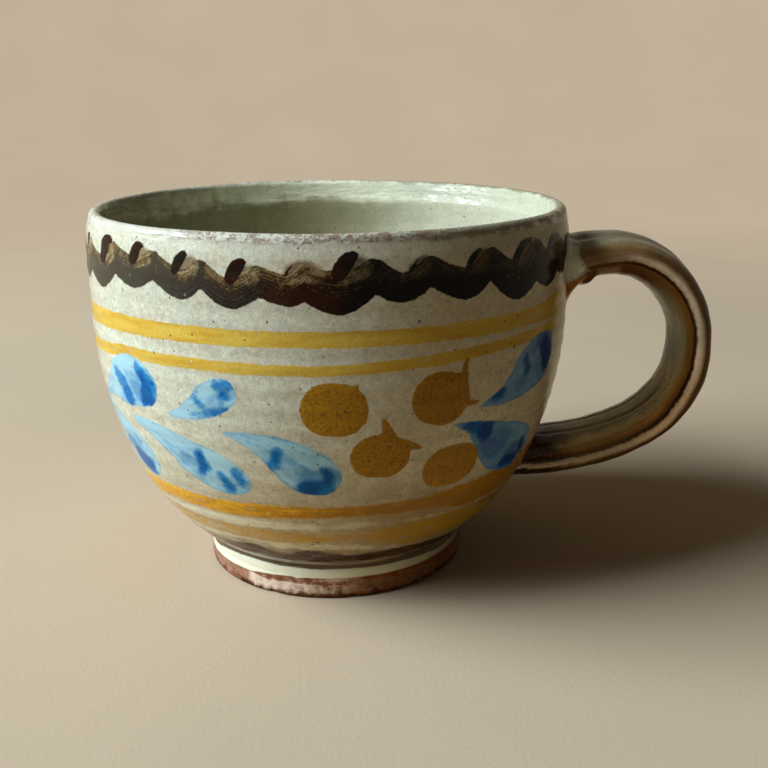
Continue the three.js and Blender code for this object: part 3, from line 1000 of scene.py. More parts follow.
dregs = edge("line_dregs", 0.4, 1.6, grown=0.35)
threads = glaze.hairs(across * 0.16, glaze.along("Y") * 0.16, glaze.painted("dregs_place") * 2.6)
lines = abs((threads * 3.4 + crumb * 0.35).fraction() - 0.5).rise(0.10, 0.30)
deep_shade = (across + mottle * 6).rise(6, 24) * (up + mottle * 3).fall(8.5, 12.5)
# SHADED_CREVICE is painted shade in the corner where the wall meets the seam; DEEP_SHADE is painted
# shade low on the right.
colour = glaze.layers(
    colour,
    (FILM, dregs * (0.95 + mottle * 0.4)),
    (DREGS, dregs * lines * 0.95),
    (DEEP_SHADE, deep_shade * 0.85),
    (SHADED_CREVICE, (up + ruffle).fall(6.25, 6.75) * 0.85),
)
glaze.tell("dregs")

# %% Specks, the inside, the worn lip and the bare clay below
IRON, PINHOLE, RED_CLAY = (0.05, 0.035, 0.02), (0.84, 0.83, 0.74), (0.27, 0.105, 0.055)
LIP_WHITE, LIP_SHADE, WORN_LIP = (0.82, 0.83, 0.75), (0.20, 0.21, 0.12), (0.21, 0.11, 0.065)
LIT_BAND_INSIDE, LIT_BAND_ON_RIGHT = (0.96, 0.98, 0.76), (0.56, 0.58, 0.46)
iron_specks = glaze.specks(1.7, 0.26, 0.5).most(glaze.specks(4.2, 0.42, 0.35, shift=31))
pinholes = glaze.specks(2.3, 0.26, 0.4, shift=7)

# Painted light and shade inside: the inner wall is painted dark on the left, in the lamp's shade,
# and pale on the right, where the light falls, and the band over the step is painted lighter still.
inside_shading_stops = [
    (-34, (0.24, 0.23, 0.13)), (-20, (0.35, 0.33, 0.20)), (-8, (0.46, 0.43, 0.28)),
    (9, (0.50, 0.48, 0.33)), (16, (0.55, 0.55, 0.41)), (24, (0.60, 0.60, 0.46)),
    (45, (0.62, 0.62, 0.51)),
]
lit_band_inside = glaze.blend(LIT_BAND_INSIDE, LIT_BAND_ON_RIGHT, across.rise(0, 28))
lit_over_step = (up + mottle * 1.2 + drift * 2 + streak).rise(STEP_HEIGHT - 1.3, STEP_HEIGHT + 0.9)
lit_over_step = lit_over_step * (across + mottle * 10).rise(-44, -14)
inner_colour = glaze.blend(glaze.ramp(across + mottle * 5, inside_shading_stops), lit_band_inside, lit_over_step)
worked = 1 + grain * 0.22 + crumb * 0.16 + streak * 0.12 + mottle * 0.1
inner_colour = glaze.blend(glaze.tint(inner_colour, worked), IRON, iron_specks * 0.5)

# The lip band fades from white on the left into painted shade on the right.
from_lip, under_face = glaze.painted("from_lip"), glaze.painted("underside")
lip_band = (abs(from_lip - 0.65) + ruffle * 1.3 + mottle * 1.3).fall(0.9, 1.8)
wear = glaze.painted("wear")
pitted = (grain * 1.3 + crumb * 1.3 + mottle * 0.8).rise(-0.4, 0.25)
clay_under = glaze.blend(RED_CLAY, BEIGE, (streak + mottle).rise(0.2, 0.8) * 0.5)
colour = glaze.layers(
    colour,
    (IRON, iron_specks * 0.7),
    (PINHOLE, pinholes * 0.6 * (1 - berry_mask) * (1 - wave_mask * 0.6)),
    (inner_colour, glaze.painted("inside").most(from_lip.fall(-1.2, 0.2))),
    (glaze.blend(LIP_WHITE, LIP_SHADE, across.rise(-8, 30)), lip_band * 0.7),
    (WORN_LIP, lip_band * pitted * wear * 0.85),
    (glaze.tint(clay_under, 1 + grain * 0.2), under_face),
)
glaze.tell("inside, lip and underside")

# %% The glaze's gloss and grain
gloss = 0.13 + mottle * 0.06 + crumb * 0.05 + lip_band * 0.06 + under_face * 0.5
thick = from_lip.near(-1.4, 3.2, 4.2)
lumps = glaze.cloud(1.5, detail=3, stretch=(2.2, 2.2, 0.6), shift=41)
peel = glaze.cloud(1.8, detail=2, shift=11) * 0.020 + grain * 0.003 + crumb * 0.005 + streak * 0.008
peel += lip_band * wear * (crumb * 0.04 + grain * 0.015) + thick * lumps * 0.14 - pinholes * 0.03
wet = thick * (lumps + crumb * 0.6 + mottle * 0.4).rise(0.06, 0.28)
coat = {"Coat Weight": wet, "Coat Roughness": 0.12}
bowl.data.materials.append(glaze.skin(colour, gloss, peel, **coat))

# %% [markdown]
# ## The foot ring and its seam
#
# The foot was turned from leather-hard clay with a loop tool, which leaves fine level scratches
# and a few nicks along the edge. It was wiped clean of slip before firing, so red clay shows
# through whitish smears, and it is darkest at the rim that stood on the kiln shelf. The seam
# above it is where slip and glaze ran together in the corner: a narrow white bead.

# %% Outlines of the foot ring and the seam
slip_edges = [
    (-180, 2.5, 3.8), (-160, 2.7, 4.0), (-155, 2.8, 4.5), (-150, 2.9, 5.1), (-140, 3.1, 5.6),
    (-130, 3.15, 5.8), (-125, 3.5, 5.85), (-120, 3.7, 5.85), (-110, 4.0, 5.85), (-107, 3.8, 5.85),
    (-104, 4.0, 5.85), (-80, 4.05, 5.8), (-60, 4.0, 5.6), (-50, 4.0, 5.4), (-40, 4.0, 5.2),
    (-10, 3.8, 5.4), (30, 3.4, 5.7), (70, 3.9, 5.8), (120, 3.2, 5.6), (150, 2.7, 4.8),
]
smear_stops = [
    (-180, 0.2), (-132, 0.1), (-129, 1.0), (-112, 0.9), (-98, 0.8), (-90, 0.65), (-80, 0.15),
    (-30, 0.1), (20, 0.6), (60, 0.2), (120, 0.8), (150, 0.3),
]
foot_inner_top = FOOT_TOP_RADIUS - FOOT_BAND
foot_inner_bottom = foot_inner_top + FOOT_INNER_SLOPE
foot_outline = [
    (foot_inner_bottom + 0.7, 0), (FOOT_RADIUS - 0.6, 0), (FOOT_RADIUS - 0.18, 0.16),
    (FOOT_RADIUS, 0.6), (FOOT_TOP_RADIUS, FOOT_HEIGHT), (FOOT_TOP_RADIUS - 0.5, FOOT_HEIGHT + 0.3),
    (foot_inner_top, FOOT_HEIGHT + 0.3), (foot_inner_top, FOOT_HEIGHT),
    (foot_inner_bottom, 0.7), (foot_inner_bottom + 0.2, 0.2), (foot_inner_bottom + 0.7, 0),
]
seam_outline = [
    (FOOT_TOP_RADIUS - 1.6, FOOT_HEIGHT - 0.7), (FOOT_TOP_RADIUS - 0.25, FOOT_HEIGHT - 0.7),
    (FOOT_TOP_RADIUS + 0.02, FOOT_HEIGHT - 0.4), (FOOT_TOP_RADIUS + 0.10, FOOT_HEIGHT - 0.05),
    (FOOT_TOP_RADIUS + SEAM_PROUD, FOOT_HEIGHT + 0.4),
    (FOOT_TOP_RADIUS + SEAM_PROUD * 0.7, BASE_PLANE - 0.7),
    (SPRING_RADIUS + 0.25, BASE_PLANE - 0.1), (SPRING_RADIUS + 0.45, BASE_PLANE + 0.22),
    (SPRING_RADIUS - 1.6, BASE_PLANE + 0.22), (foot_inner_top, BASE_PLANE),
    (foot_inner_top, FOOT_HEIGHT - 0.7), (FOOT_TOP_RADIUS - 1.6, FOOT_HEIGHT - 0.7),
]
print("the foot is", 2 * FOOT_RADIUS, "mm wide and its recess", round(2 * foot_inner_bottom, 1))

# %% Turn the foot ring and the seam
FOOT_TURNS, FOOT_SPACING, SEAM_SPACING = 400, 0.28, 0.2
NICK_WIDTH, NICK_HEIGHT = 0.05, 1.1
NICKS = ((-118, 0.25), (-84, 0.18), (-41, 0.2), (37, 0.25), (120, 0.2), (171, 0.22))


def foot_sway(turn):
    return 0.06 * np.cos(3 * turn) - 0.05


def foot_wobble(height, turn):
    scratches = 0.012 * np.sin(height * 7 + 2 * turn) + 0.008 * np.sin(height * 15 - 3 * turn)
    nicks = 0
    for at, depth in NICKS:
        beside = (turn - np.radians(at) + np.pi) % (2 * np.pi) - np.pi
        nicks = nicks + depth * hump(beside, 0, NICK_WIDTH)
    return scratches + foot_sway(turn) - nicks * hump(height, 0, NICK_HEIGHT)


def seam_wobble(height, turn):
    return foot_sway(turn) + 0.015 * np.sin(13 * turn + height)


def turned_piece(name, outline, spacing, wobble):
    """A closed ring turned from an outline, moved in and out by wobble(height, turn)."""
    rows = even(outline, spacing)[:-1]
    radius, height, azimuth = turn_rows(rows, FOOT_TURNS)
    points = spin(radius + wobble(height, np.radians(azimuth)), height, azimuth)
    faces = ring_faces(len(rows), FOOT_TURNS)
    last = (len(rows) - 1) * FOOT_TURNS
    for i in range(FOOT_TURNS):
        beside = (i + 1) % FOOT_TURNS
        faces.append((last + i, last + beside, beside, i))
    low, high = round_wheel(slip_edges, azimuth)
    smear = round_wheel(smear_stops, azimuth)[0]
    values = {"above_slip": height - high, "below_slip": low - height, "smear": smear}
    return make_piece(name, points, faces, values)


foot = turned_piece("turned_foot_ring", foot_outline, FOOT_SPACING, foot_wobble)
seam = turned_piece("slip_seam", seam_outline, SEAM_SPACING, seam_wobble)
for piece, node, slot in (
    (foot, "foot_ring", "bare_terracotta"), (seam, "foot_luting", "white_slip")
):
    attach(piece, "root")
    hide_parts(node)

# %% Mix the clay and slip of the foot
FIRED, PALE_CLAY, BROWN_CLAY = (0.22, 0.085, 0.042), (0.33, 0.145, 0.085), (0.30, 0.085, 0.016)
SCORCHED, SMEAR = (0.035, 0.010, 0.004), (0.88, 0.72, 0.60)
SLIP, SHADED_GREEN_SLIP = (0.97, 0.98, 0.82), (0.66, 0.58, 0.34)


def foot_skin(name, gloss_of_slip):
    """Bare clay below the slip, the slip itself, and painted shade in dark brown in the corner over
    it.
    """
    clay = Finish(name)
    up, across = clay.along("Z"), clay.along("X")
    grain, mottle = clay.cloud(0.24, detail=3, rough=0.7), clay.cloud(2.6, detail=4)
    scratch = clay.cloud(0.5, detail=3, stretch=(14, 14, 0.6))
    waver = clay.cloud(2.2, detail=2, shift=4) * 0.16
    blotch = clay.cloud(1.4, detail=3, shift=21)

    smudge = clay.cloud(3.0, detail=4, stretch=(3.2, 3.2, 0.6), shift=2) + blotch * 0.25
    smeared = (smudge + (up + mottle * 0.8).near(1.9, 0.5, 1.3) * 0.30).rise(-0.1, 0.25)
    bare = clay.layers(
        FIRED,
        (PALE_CLAY, (mottle * 0.7 + blotch * 0.6 + scratch * 0.3).rise(-0.3, 0.5)),
        (BROWN_CLAY, (across + mottle * 10).rise(-10, 10) * 0.85),
        (SMEAR, smeared * clay.painted("smear") * (up + blotch).rise(0.3, 1.3) * 0.85),
        (SCORCHED, (up + mottle * 1.6 + blotch * 0.8).fall(0.1, 1.3) * 0.85),
    )
    bare = clay.tint(bare, 1 + grain * 0.7 + scratch * 0.25 + blotch * 0.5)
    # Painted light and shade on the slip: it turns darker and greener towards the right, away from
    # the lamp, and is dimmed on the far left, where the lamp falls strongest.
    slip = clay.blend(SLIP, SHADED_GREEN_SLIP, (across + mottle * 10).rise(2, 24) * 0.8)
    slip = clay.tint(slip, 1 - across.fall(-24, -12) * 0.17 + grain * 0.16 + mottle * 0.10)

    on_slip = (clay.painted("below_slip") + waver).fall(-0.10, 0.14)
    over_slip = (clay.painted("above_slip") + waver).rise(-0.12, 0.12)
    # SHADED_CREVICE paints shade in the corner above the slip, where the seam meets the wall.
    colour = clay.layers(bare, (slip, on_slip), (SHADED_CREVICE, over_slip * 0.92))
    relief = (grain * 0.03 + scratch * 0.04) * (1 - on_slip) + on_slip * 0.10 + mottle * 0.02
    return clay.skin(colour, 0.78 - on_slip * gloss_of_slip + grain * 0.08, relief)


foot.data.materials.append(foot_skin("bare_terracotta", 0.56))
seam.data.materials.append(foot_skin("white_slip", 0.60))

# %% [markdown]
# ## The handle
#
# The strap was pulled wet through the hand, which leaves ridges and grooves running along it:
# a deep groove in each side, nearer the inner face, a fat roll outside it, and shallow flutes on
# the outer face. The path is the solids' own: in through the wall, over the crown, round the ear
# and back to the wall. Sections are set along it, and the ends follow the wall's face from
# inside, so nothing shows in the bowl.

# %% The strap's path
STAND_OFF, ROOT_BELOW_LIP, ROOT_ANGLE, ROOT_TANGENT = 29.8, 12.0, 14.0, 3.0
CROWN_BELOW_LIP, CROWN_STAND_OFF, CROWN_INNER, CROWN_OUTER = 6.4, 9.9, 4.0, 6.3
EAR_HEIGHT, EAR_UPPER, EAR_LOWER = 40.7, 13.2, 18.3
TAIL_HEIGHT, TAIL_TANGENT, ROOT_DEPTH = 18.9, 13.6, 7.0
WIDTHS = {"root": 17.5, "ear": 15.8, "tail": 16.6}
THICKNESSES = {"root": 9.2, "crown": 7.7, "ear": 7.0, "tail": 8.3}

root_height = CUP_HEIGHT - ROOT_BELOW_LIP
root = (float(wall_radius(root_height)), root_height)
crown_height = CUP_HEIGHT - CROWN_BELOW_LIP - THICKNESSES["crown"] / 2
crown = (BELLY_RADIUS + CROWN_STAND_OFF, crown_height)
ear = (BELLY_RADIUS + STAND_OFF - THICKNESSES["ear"] / 2, EAR_HEIGHT)
tail = (float(wall_radius(TAIL_HEIGHT)), TAIL_HEIGHT)
legs = [
    np.linspace(polar(root, -ROOT_DEPTH, ROOT_ANGLE), root, 30),
    bezier(root, polar(root, ROOT_TANGENT, ROOT_ANGLE), (crown[0] - CROWN_INNER, crown[1]), crown),
    bezier(crown, (crown[0] + CROWN_OUTER, crown[1]), (ear[0], ear[1] + EAR_UPPER), ear),
    bezier(ear, (ear[0], ear[1] - EAR_LOWER), (tail[0] + TAIL_TANGENT, tail[1]), tail),
    np.linspace(tail, (tail[0] - ROOT_DEPTH, tail[1]), 30),
]
path = np.vstack([legs[0], *(leg[1:] for leg in legs[1:])])
path_run = distances(path)
leg_ends = np.cumsum([len(legs[0]) - 1, *(len(leg) - 1 for leg in legs[1:])])
root_run, crown_run, ear_run, tail_run, path_length = path_run[leg_ends]
print("the strap is", round(tail_run - root_run, 1), "mm long between its roots")

# %% The strap's sections
SQUARENESS = 2.4
GROOVE_DEPTH, GROOVE_WIDTH, GROOVE_DROP = 0.75, 0.75, 1.35
GROOVE_DRIFT = [(36, 0.0), (45, -0.4), (57, 0.4), (66, 0.5), (74, 0.85), (81, 1.2)]
FLUTE_DEPTH, FLUTE_WIDTH, FLUTE_SPACING = 0.45, 1.5, 7.6
CREASE_DEPTH, CREASE_WIDTH, CREASE_PLACE = 0.25, 0.5, 2.5
FULLNESS, LOOK_AROUND = 0.6, 0.4
width_stops = [(root_run, WIDTHS["root"]), (ear_run, WIDTHS["ear"]), (path_length, WIDTHS["tail"])]
thickness_stops = [
    (root_run, THICKNESSES["root"]), (crown_run, THICKNESSES["crown"]),
    (ear_run, THICKNESSES["ear"]), (tail_run, THICKNESSES["tail"]),
]


def along_strap(stops, distance):
    """A smooth value along the strap through stops of (distance, value)."""
    value = np.full(np.shape(distance), float(stops[0][1]))
    for (start, low), (end, high) in zip(stops, stops[1:]):
        there = low + (high - low) * smooth(distance, start, end)
        value = np.where(distance > start, there, value)
    return value


def on_path(distance):
    return [np.interp(distance, path_run, column) for column in path.T]


def squared(wave):
    """A sine or cosine filled out, so that a circle becomes a rounded rectangle."""
    return np.sign(wave) * abs(wave) ** (2 / SQUARENESS)


def strap_point(distance, turn, growth=0.0):
    """A point of the strap's skin, in millimetres from the bowl's axis."""
    distance, turn = np.broadcast_arrays(distance, turn)
    centre_x, centre_z = on_path(distance)
    ahead_x, ahead_z = on_path(distance + LOOK_AROUND)
    behind_x, behind_z = on_path(distance - LOOK_AROUND)
    heading = np.arctan2(ahead_z - behind_z, ahead_x - behind_x)
    width = along_strap(width_stops, distance)
    thickness = along_strap(thickness_stops, distance)
    across, out = squared(np.cos(turn)), squared(np.sin(turn))
    from_middle = abs(across) * width / 2
    run = distance - root_run

    groove_at = along_strap(GROOVE_DRIFT, run) - GROOVE_DROP
    in_groove = hump(out * thickness / 2, groove_at, GROOVE_WIDTH)
    groove = GROOVE_DEPTH * abs(across) ** 4 * in_groove
    flute = FLUTE_DEPTH * np.maximum(out, 0) * hump(from_middle, FLUTE_SPACING / 2, FLUTE_WIDTH)
    crease = CREASE_DEPTH * np.maximum(-out, 0) * smooth(run, 46, 52)
    crease = crease * hump(from_middle, CREASE_PLACE, CREASE_WIDTH)
    fuller = FULLNESS * smooth(run, 5, 12) * (1 - smooth(run, 24, 34)) * (out < 0)
    hand = 0.08 * np.sin(distance * 0.55 + across) + 0.05 * np.sin(distance * 1.3 - 2 * out) - 0.05

    sideways = across * (width / 2 + growth - groove + hand * 0.6)
    outward = out * (thickness / 2 + growth - flute - crease + fuller + hand * 0.5)
    x, z = centre_x - outward * np.sin(heading), centre_z + outward * np.cos(heading)
    return np.stack([x, sideways, z], axis=-1)


print("the ear reaches", round(float(strap_point(ear_run, np.pi / 2)[0]), 1), "mm from the axis")

# %% Make the strap
SECTION, STATION_SPACING = 160, 0.42
BURIED, LUMP_DEPTH = 1.3, 0.7


def round_section(sections):
    """The distance round each section from the middle of its nearer side, + on the outer half."""
    size = sections.shape[1]
    steps = np.linalg.norm(np.roll(sections, -1, axis=1) - sections, axis=2)
    reach = np.cumsum(steps, axis=1) - steps
    place = np.arange(size)
    far_side = reach[:, [size // 2]] - reach
    near_side = np.where(place < size // 2, reach, reach - steps.sum(1, keepdims=True))
    return np.where((place >= size // 4) & (place < 3 * size // 4), far_side, near_side)


def kept_in_wall(points, depth):
    """Points that lie deeper in the wall than depth are brought back to that depth."""
    radius = np.hypot(points[:, 0], points[:, 1])
    grown = np.maximum(radius, wall_radius(points[:, 2]) - depth) / radius
    return np.column_stack([points[:, 0] * grown, points[:, 1] * grown, points[:, 2]])


stations = np.arange(root_run - 4.5, tail_run + 5.5, STATION_SPACING)
turns = np.arange(SECTION) * 2 * np.pi / SECTION
distance, turn = (grid.ravel() for grid in np.meshgrid(stations, turns, indexing="ij"))
strap = strap_point(distance, turn)
side_place = round_section(strap.reshape(len(stations), SECTION, 3)).ravel()
run = distance - root_run
lump = (1 - smooth(run, 3.2, 5.0)) * smooth(run, -1, 3) * smooth(-side_place, 2.2, 4.4)
strap[:, 2] -= LUMP_DEPTH * lump * (1 + 0.15 * np.sin(run * 1.7 + strap[:, 1] * 0.6))
strap = kept_in_wall(strap, BURIED)
caps = [tuple(range(SECTION)), tuple(reversed(range(len(strap) - SECTION, len(strap))))]
handle = make_piece(
    "pulled_strap_handle",
    strap,
    flipped(ring_faces(len(stations), SECTION)) + caps,
    {
        "side_place": side_place - along_strap(GROOVE_DRIFT, run),
        "run": run,
        "onto_wall": np.zeros(len(run)),
    },
)
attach(handle, "root")
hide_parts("handle")

# %% [markdown]
# ### Pressing the ends on
#
# At each end soft clay was thumbed round the strap and smoothed onto the wall, so strap and wall
# meet in a hollow curve. Each pad is a skin of such curves: one leaves the strap, bends in the
# corner and arrives flat on the wall. Where the corner lies is found by following the strap's
# skin until it meets the wall. Below the upper pad a run of glaze reaches further out.

# %% Find where the strap meets the wall
def meets_wall(turn, growth, inner, outer):
    """The distance along the strap at which its skin, grown so far, meets the wall."""
    low, high = np.full(turn.shape, float(inner)), np.full(turn.shape, float(outer))
    for _ in range(40):
        middle = (low + high) / 2
        point = strap_point(middle, turn, growth)
        in_wall = np.hypot(point[:, 0], point[:, 1]) < wall_radius(point[:, 2])
        low, high = np.where(in_wall, middle, low), np.where(in_wall, high, middle)
    return (low + high) / 2


top_run = meets_wall(np.array([np.pi / 2]), 0.0, root_run - 6, root_run + 8)[0]
print("the strap's back leaves the wall", round(top_run - root_run, 2), "mm from its root")

# %% Pads
UPPER_REACH, UPPER_FLARE, LOWER_REACH, LOWER_FLARE = 3.6, 3.4, 4.5, 2.4
PAD_SIDES, PAD_STEPS = 200, 26
DRIP_TURN, DRIP_WIDTH, DRIP_REACH, DRIP_FLARE = 3.8, 0.48, 2.8, 3.4
INTO_STRAP, INTO_CORNER, INTO_WALL, STRAP_CORE = 0.12, 0.05, 0.45, 2


def pad(name, inner, outer, reach, flare):
    """A hollow collar of clay between the strap and the wall."""
    turn = np.arange(PAD_SIDES) * 2 * np.pi / PAD_SIDES
    direction = np.sign(outer - inner)
    pressed = 1 + 0.14 * np.sin(2 * turn + 0.5) + 0.10 * np.sin(5 * turn + reach)
    pressed += 0.05 * np.sin(9 * turn)
    drip = hump(turn, DRIP_TURN, DRIP_WIDTH) * (direction > 0)
    hold, growth = reach * pressed + DRIP_REACH * drip, flare * pressed + DRIP_FLARE * drip

    corner_run = meets_wall(turn, 0.0, inner, outer)
    corner = strap_point(corner_run, turn, -INTO_CORNER)
    core = strap_point(corner_run, turn, -STRAP_CORE)
    on_strap = strap_point(corner_run + direction * hold, turn, -INTO_STRAP)
    on_bowl = strap_point(meets_wall(turn, growth, inner, outer), turn, growth)
    on_bowl[:, :2] *= (1 - INTO_WALL / np.hypot(on_bowl[:, 0], on_bowl[:, 1]))[:, None]
    rings = []
    for share in np.linspace(0, 1, PAD_STEPS):
        bulge = 0.10 * np.sin(np.pi * share) * np.sin(7 * turn + 2)
        ring = (1 - share) ** 2 * on_strap + 2 * (1 - share) * share * corner + share**2 * on_bowl
        outward = ring - core
        outward /= np.linalg.norm(outward, axis=1)[:, None]
        rings.append(ring + outward * bulge[:, None])

    faces = ring_faces(PAD_STEPS, PAD_SIDES)
    share = np.linspace(0, 1, PAD_STEPS)[:, None]
    run = corner_run - root_run + direction * hold * (1 - share)
    side_place = round_section(on_strap[None]) - along_strap(GROOVE_DRIFT, run)
    values = {"side_place": side_place, "run": run, "onto_wall": share + 0 * run}
    values = {key: grid.ravel() for key, grid in values.items()}
    piece = make_piece(name, np.vstack(rings), flipped(faces) if direction > 0 else faces, values)
    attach(piece, "root")
    return piece


upper_pad = pad("upper_handle_pad", root_run - 6, root_run + 8, UPPER_REACH, UPPER_FLARE)
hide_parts("handle_upper_luting")
lower_pad = pad("lower_handle_pad", tail_run + 6.5, tail_run - 9, LOWER_REACH, LOWER_FLARE)
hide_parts("handle_lower_luting")

# %% [markdown]
# ### The glaze on the handle
#
# The same glaze behaves differently on the strap: it pools grey-green on the broad faces and
# runs thin over every ridge, where the red clay burns through it in orange and brown. The groove
# holds a line of dark red, and the roll beside it is a pinkish so light that it is partly a painted
# highlight. The tail is almost black-brown, partly as painted shade from the cup. Painted shade
# also lies along the top run and under it, and painted light on the inner face and the roll of
# the lower run and by the upper root. The upper pad is pale like the wall, painted lighter still
# near the wall, with an orange run below it.

# %% Colours of the brown glaze
SAGE, MOSS, CELADON = (0.31, 0.265, 0.14), (0.16, 0.12, 0.045), (0.41, 0.37, 0.23)
SAND, DARK_SAND, GREEN_SAND = (0.34, 0.27, 0.17), (0.25, 0.18, 0.10), (0.33, 0.29, 0.19)
# PINKISH is the roll's own pink, made so light that it is partly a painted highlight for its gloss.
PINKISH, MAUVE, UMBER = (0.96, 0.78, 0.60), (0.58, 0.40, 0.25), (0.18, 0.085, 0.022)
RUST, BURNT_ORANGE, TOFFEE = (0.32, 0.13, 0.018), (0.29, 0.115, 0.018), (0.38, 0.25, 0.09)
OXBLOOD, NEAR_BLACK = (0.045, 0.008, 0.002), (0.03, 0.011, 0.004)
RUSSET, BRONZE, MAROON = (0.17, 0.060, 0.012), (0.17, 0.10, 0.035), (0.13, 0.045, 0.009)
PALE_SAGE, TAWNY, COCOA = (0.52, 0.49, 0.32), (0.48, 0.28, 0.12), (0.24, 0.12, 0.045)
PALE_SLIP, ORANGE_RUN = (0.93, 0.98, 0.90), (0.62, 0.21, 0.010)
bands = [
    (-11.0, SAGE), (-8.4, SAGE), (-7.9, MOSS), (-7.3, SAGE), (-4.2, CELADON), (-3.1, TOFFEE),
    (-2.4, BURNT_ORANGE), (-1.85, RUST), (-1.5, OXBLOOD), (-1.25, OXBLOOD), (-1.0, UMBER),
    (-0.72, PINKISH), (0.1, PINKISH), (0.55, MAUVE), (1.05, UMBER), (2.1, UMBER),
    (2.7, DARK_SAND), (3.6, SAND), (5.6, GREEN_SAND), (11.0, CELADON),
]
print(len(bands), "bands of colour from the inner face to the outer face")

# %% Mix the brown glaze
def strap_finish(name, is_pale_pad=False):
    """The glaze of the strap and its pads, banded by the place round the section."""
    brown = Finish(name)
    side, run, onto = (brown.painted(value) for value in ("side_place", "run", "onto_wall"))
    pulled = brown.hairs(run * 0.07, side * 1.1, brown.along("Y") * 0.2, detail=4)
    fine, crumb = brown.cloud(0.26, detail=2, rough=0.7), brown.cloud(0.9, detail=3, shift=13)
    hairlines = brown.hairs(run * 0.045, side * 3.2)
    patches = brown.cloud(4.5, detail=3)
    wander = side + patches * 0.35 + crumb * 0.25 + fine * 0.12
    ragged, loose = run + patches * 3, run + patches * 4

    outer_face = wander.rise(4.2, 5.5)
    broad = outer_face.most(wander.fall(-5, -3.5))
    pale_spot = (run + patches * 1.5).near(7, 1.6, 3.0) * wander.near(-3.6, 1.0, 1.9)
    # Painted shade: the tail is dark glaze, and darker still where the cup's shadow falls on it.
    tail_dark_and_shade = (loose + pulled * 3).rise(71.5, 77.5)
    tail_dark_and_shade = tail_dark_and_shade * (0.95 - wander.near(-0.4, 0.35, 0.8) * 0.8)
    colour = brown.layers(
        brown.ramp(wander, bands),
        (UMBER, outer_face * (pulled * 1.3 + patches * 0.5).rise(0.1, 0.55) * 0.75),
        (PINKISH, broad * (patches + pulled * 0.5).rise(0.1, 0.6) * 0.3),
        # RUSSET under the top run is dark red-brown glaze, deepened as painted shade under the
        # strap.
        (RUSSET, loose.fall(15, 27) * wander.fall(-2.6, -1.4) * 0.95),
        (BRONZE, ragged.rise(54, 66) * wander.near(-2.2, 0.9, 1.6) * 0.8),
        (MAROON, ragged.rise(47, 54) * wander.rise(1.2, 2.0) * 0.85),
        (MAUVE, pale_spot * 0.7),
        # PALE_SAGE by the upper root is partly the glaze's grey-green and partly painted light on
        # the shade there.
        (PALE_SAGE, ragged.fall(6, 11) * (wander + patches).rise(1.4, 3.2) * 0.75),
        (TAWNY, ragged.fall(9, 19) * wander.near(1.7, 0.9, 1.7) * 0.6),
        (COCOA, ragged.fall(6, 13) * wander.near(-0.4, 0.8, 1.4) * 0.8),
        (NEAR_BLACK, tail_dark_and_shade),
        (RUST, tail_dark_and_shade * crumb.rise(0.05, 0.4) * 0.5),
    )
    if is_pale_pad:
        near_wall = (onto + patches * 0.3 + crumb * 0.15).rise(-0.05, 0.18)
        below = (wander + (1 - onto) * 2.5).fall(-1.3, -0.6)
        colour = brown.layers(
            colour,
            # PALE_SLIP is the pale slip by the wall, painted near white so it stays light in the
            # shade there: partly painted light.
            (PALE_SLIP, near_wall * (wander + onto * 3).rise(-2.6, -0.6)),
            (ORANGE_RUN, (onto + patches * 0.2).rise(0.1, 0.4) * below * 0.97),
        )

    hairy = (hairlines + fine * 0.15).rise(0.12, 0.42)
    colour = brown.blend(colour, UMBER, hairy * (0.6 - wander.near(-0.2, 0.5, 0.9) * 0.4))
    # Painted shade on the outer face along the top run, and painted light on the inner face and on
    # the roll of the lower run.
    shade_over_crown = loose.fall(20, 38) * outer_face
    inner_light = run.rise(36, 50) * wander.fall(-2.8, -1.8) * (0.45 + wander.rise(-6.5, -4.5))
    roll_light = run.rise(34, 43) * run.fall(54, 66) * wander.near(0, 0.7, 1.5) * 0.75
    shade = (1 - shade_over_crown * 0.5) * (1 + (inner_light * 1.05 + roll_light) * (1 - tail_dark_and_shade))
    worked = 1 + fine * 0.36 + crumb * 0.30 + pulled * 0.45 + hairlines * 0.35 + patches * 0.10
    colour = brown.tint(colour, shade * worked)
    colour = brown.blend(colour, IRON, brown.specks(1.9, 0.26, 0.4) * 0.6)
    relief = pulled * 0.03 + hairlines * 0.012 + fine * 0.004 + brown.cloud(1.6, shift=9) * 0.02
    relief -= brown.specks(2.6, 0.3, 0.3, shift=5) * 0.05
    return brown.skin(colour, 0.14 + patches * 0.05 + crumb * 0.05, relief)


handle.data.materials.append(strap_finish("brown_glaze"))
lower_pad.data.materials.append(strap_finish("dark_pad_glaze"))
upper_pad.data.materials.append(strap_finish("pale_pad_glaze", is_pale_pad=True))

# %% [markdown]
# ## Floor and light
#
# The cup stands on a plain pale floor that sweeps up behind it, in a warm sandy tone. One large
# soft lamp stands at the left, and a dim even sky fills the shade. The lamp's power is worked
# out from how bright a surface turned to it should look. Floor and sky look bright to the eye
# and in the glaze, but send less light than that onto the cup.

# %% A pale sweep
SWEEP_WIDTH, FLOOR_FRONT, BEND_START, BEND_RADIUS, WALL_TOP = 3.0, -1.5, 0.42, 0.35, 1.4
NEAR_COLOUR, FAR_COLOUR = (0.61, 0.49, 0.36), (0.54, 0.44, 0.32)
NEAR_BOUNCE, FAR_BOUNCE = (0.56, 0.42, 0.24), (0.21, 0.15, 0.085)
MIRRORED_FLOOR = 0.65

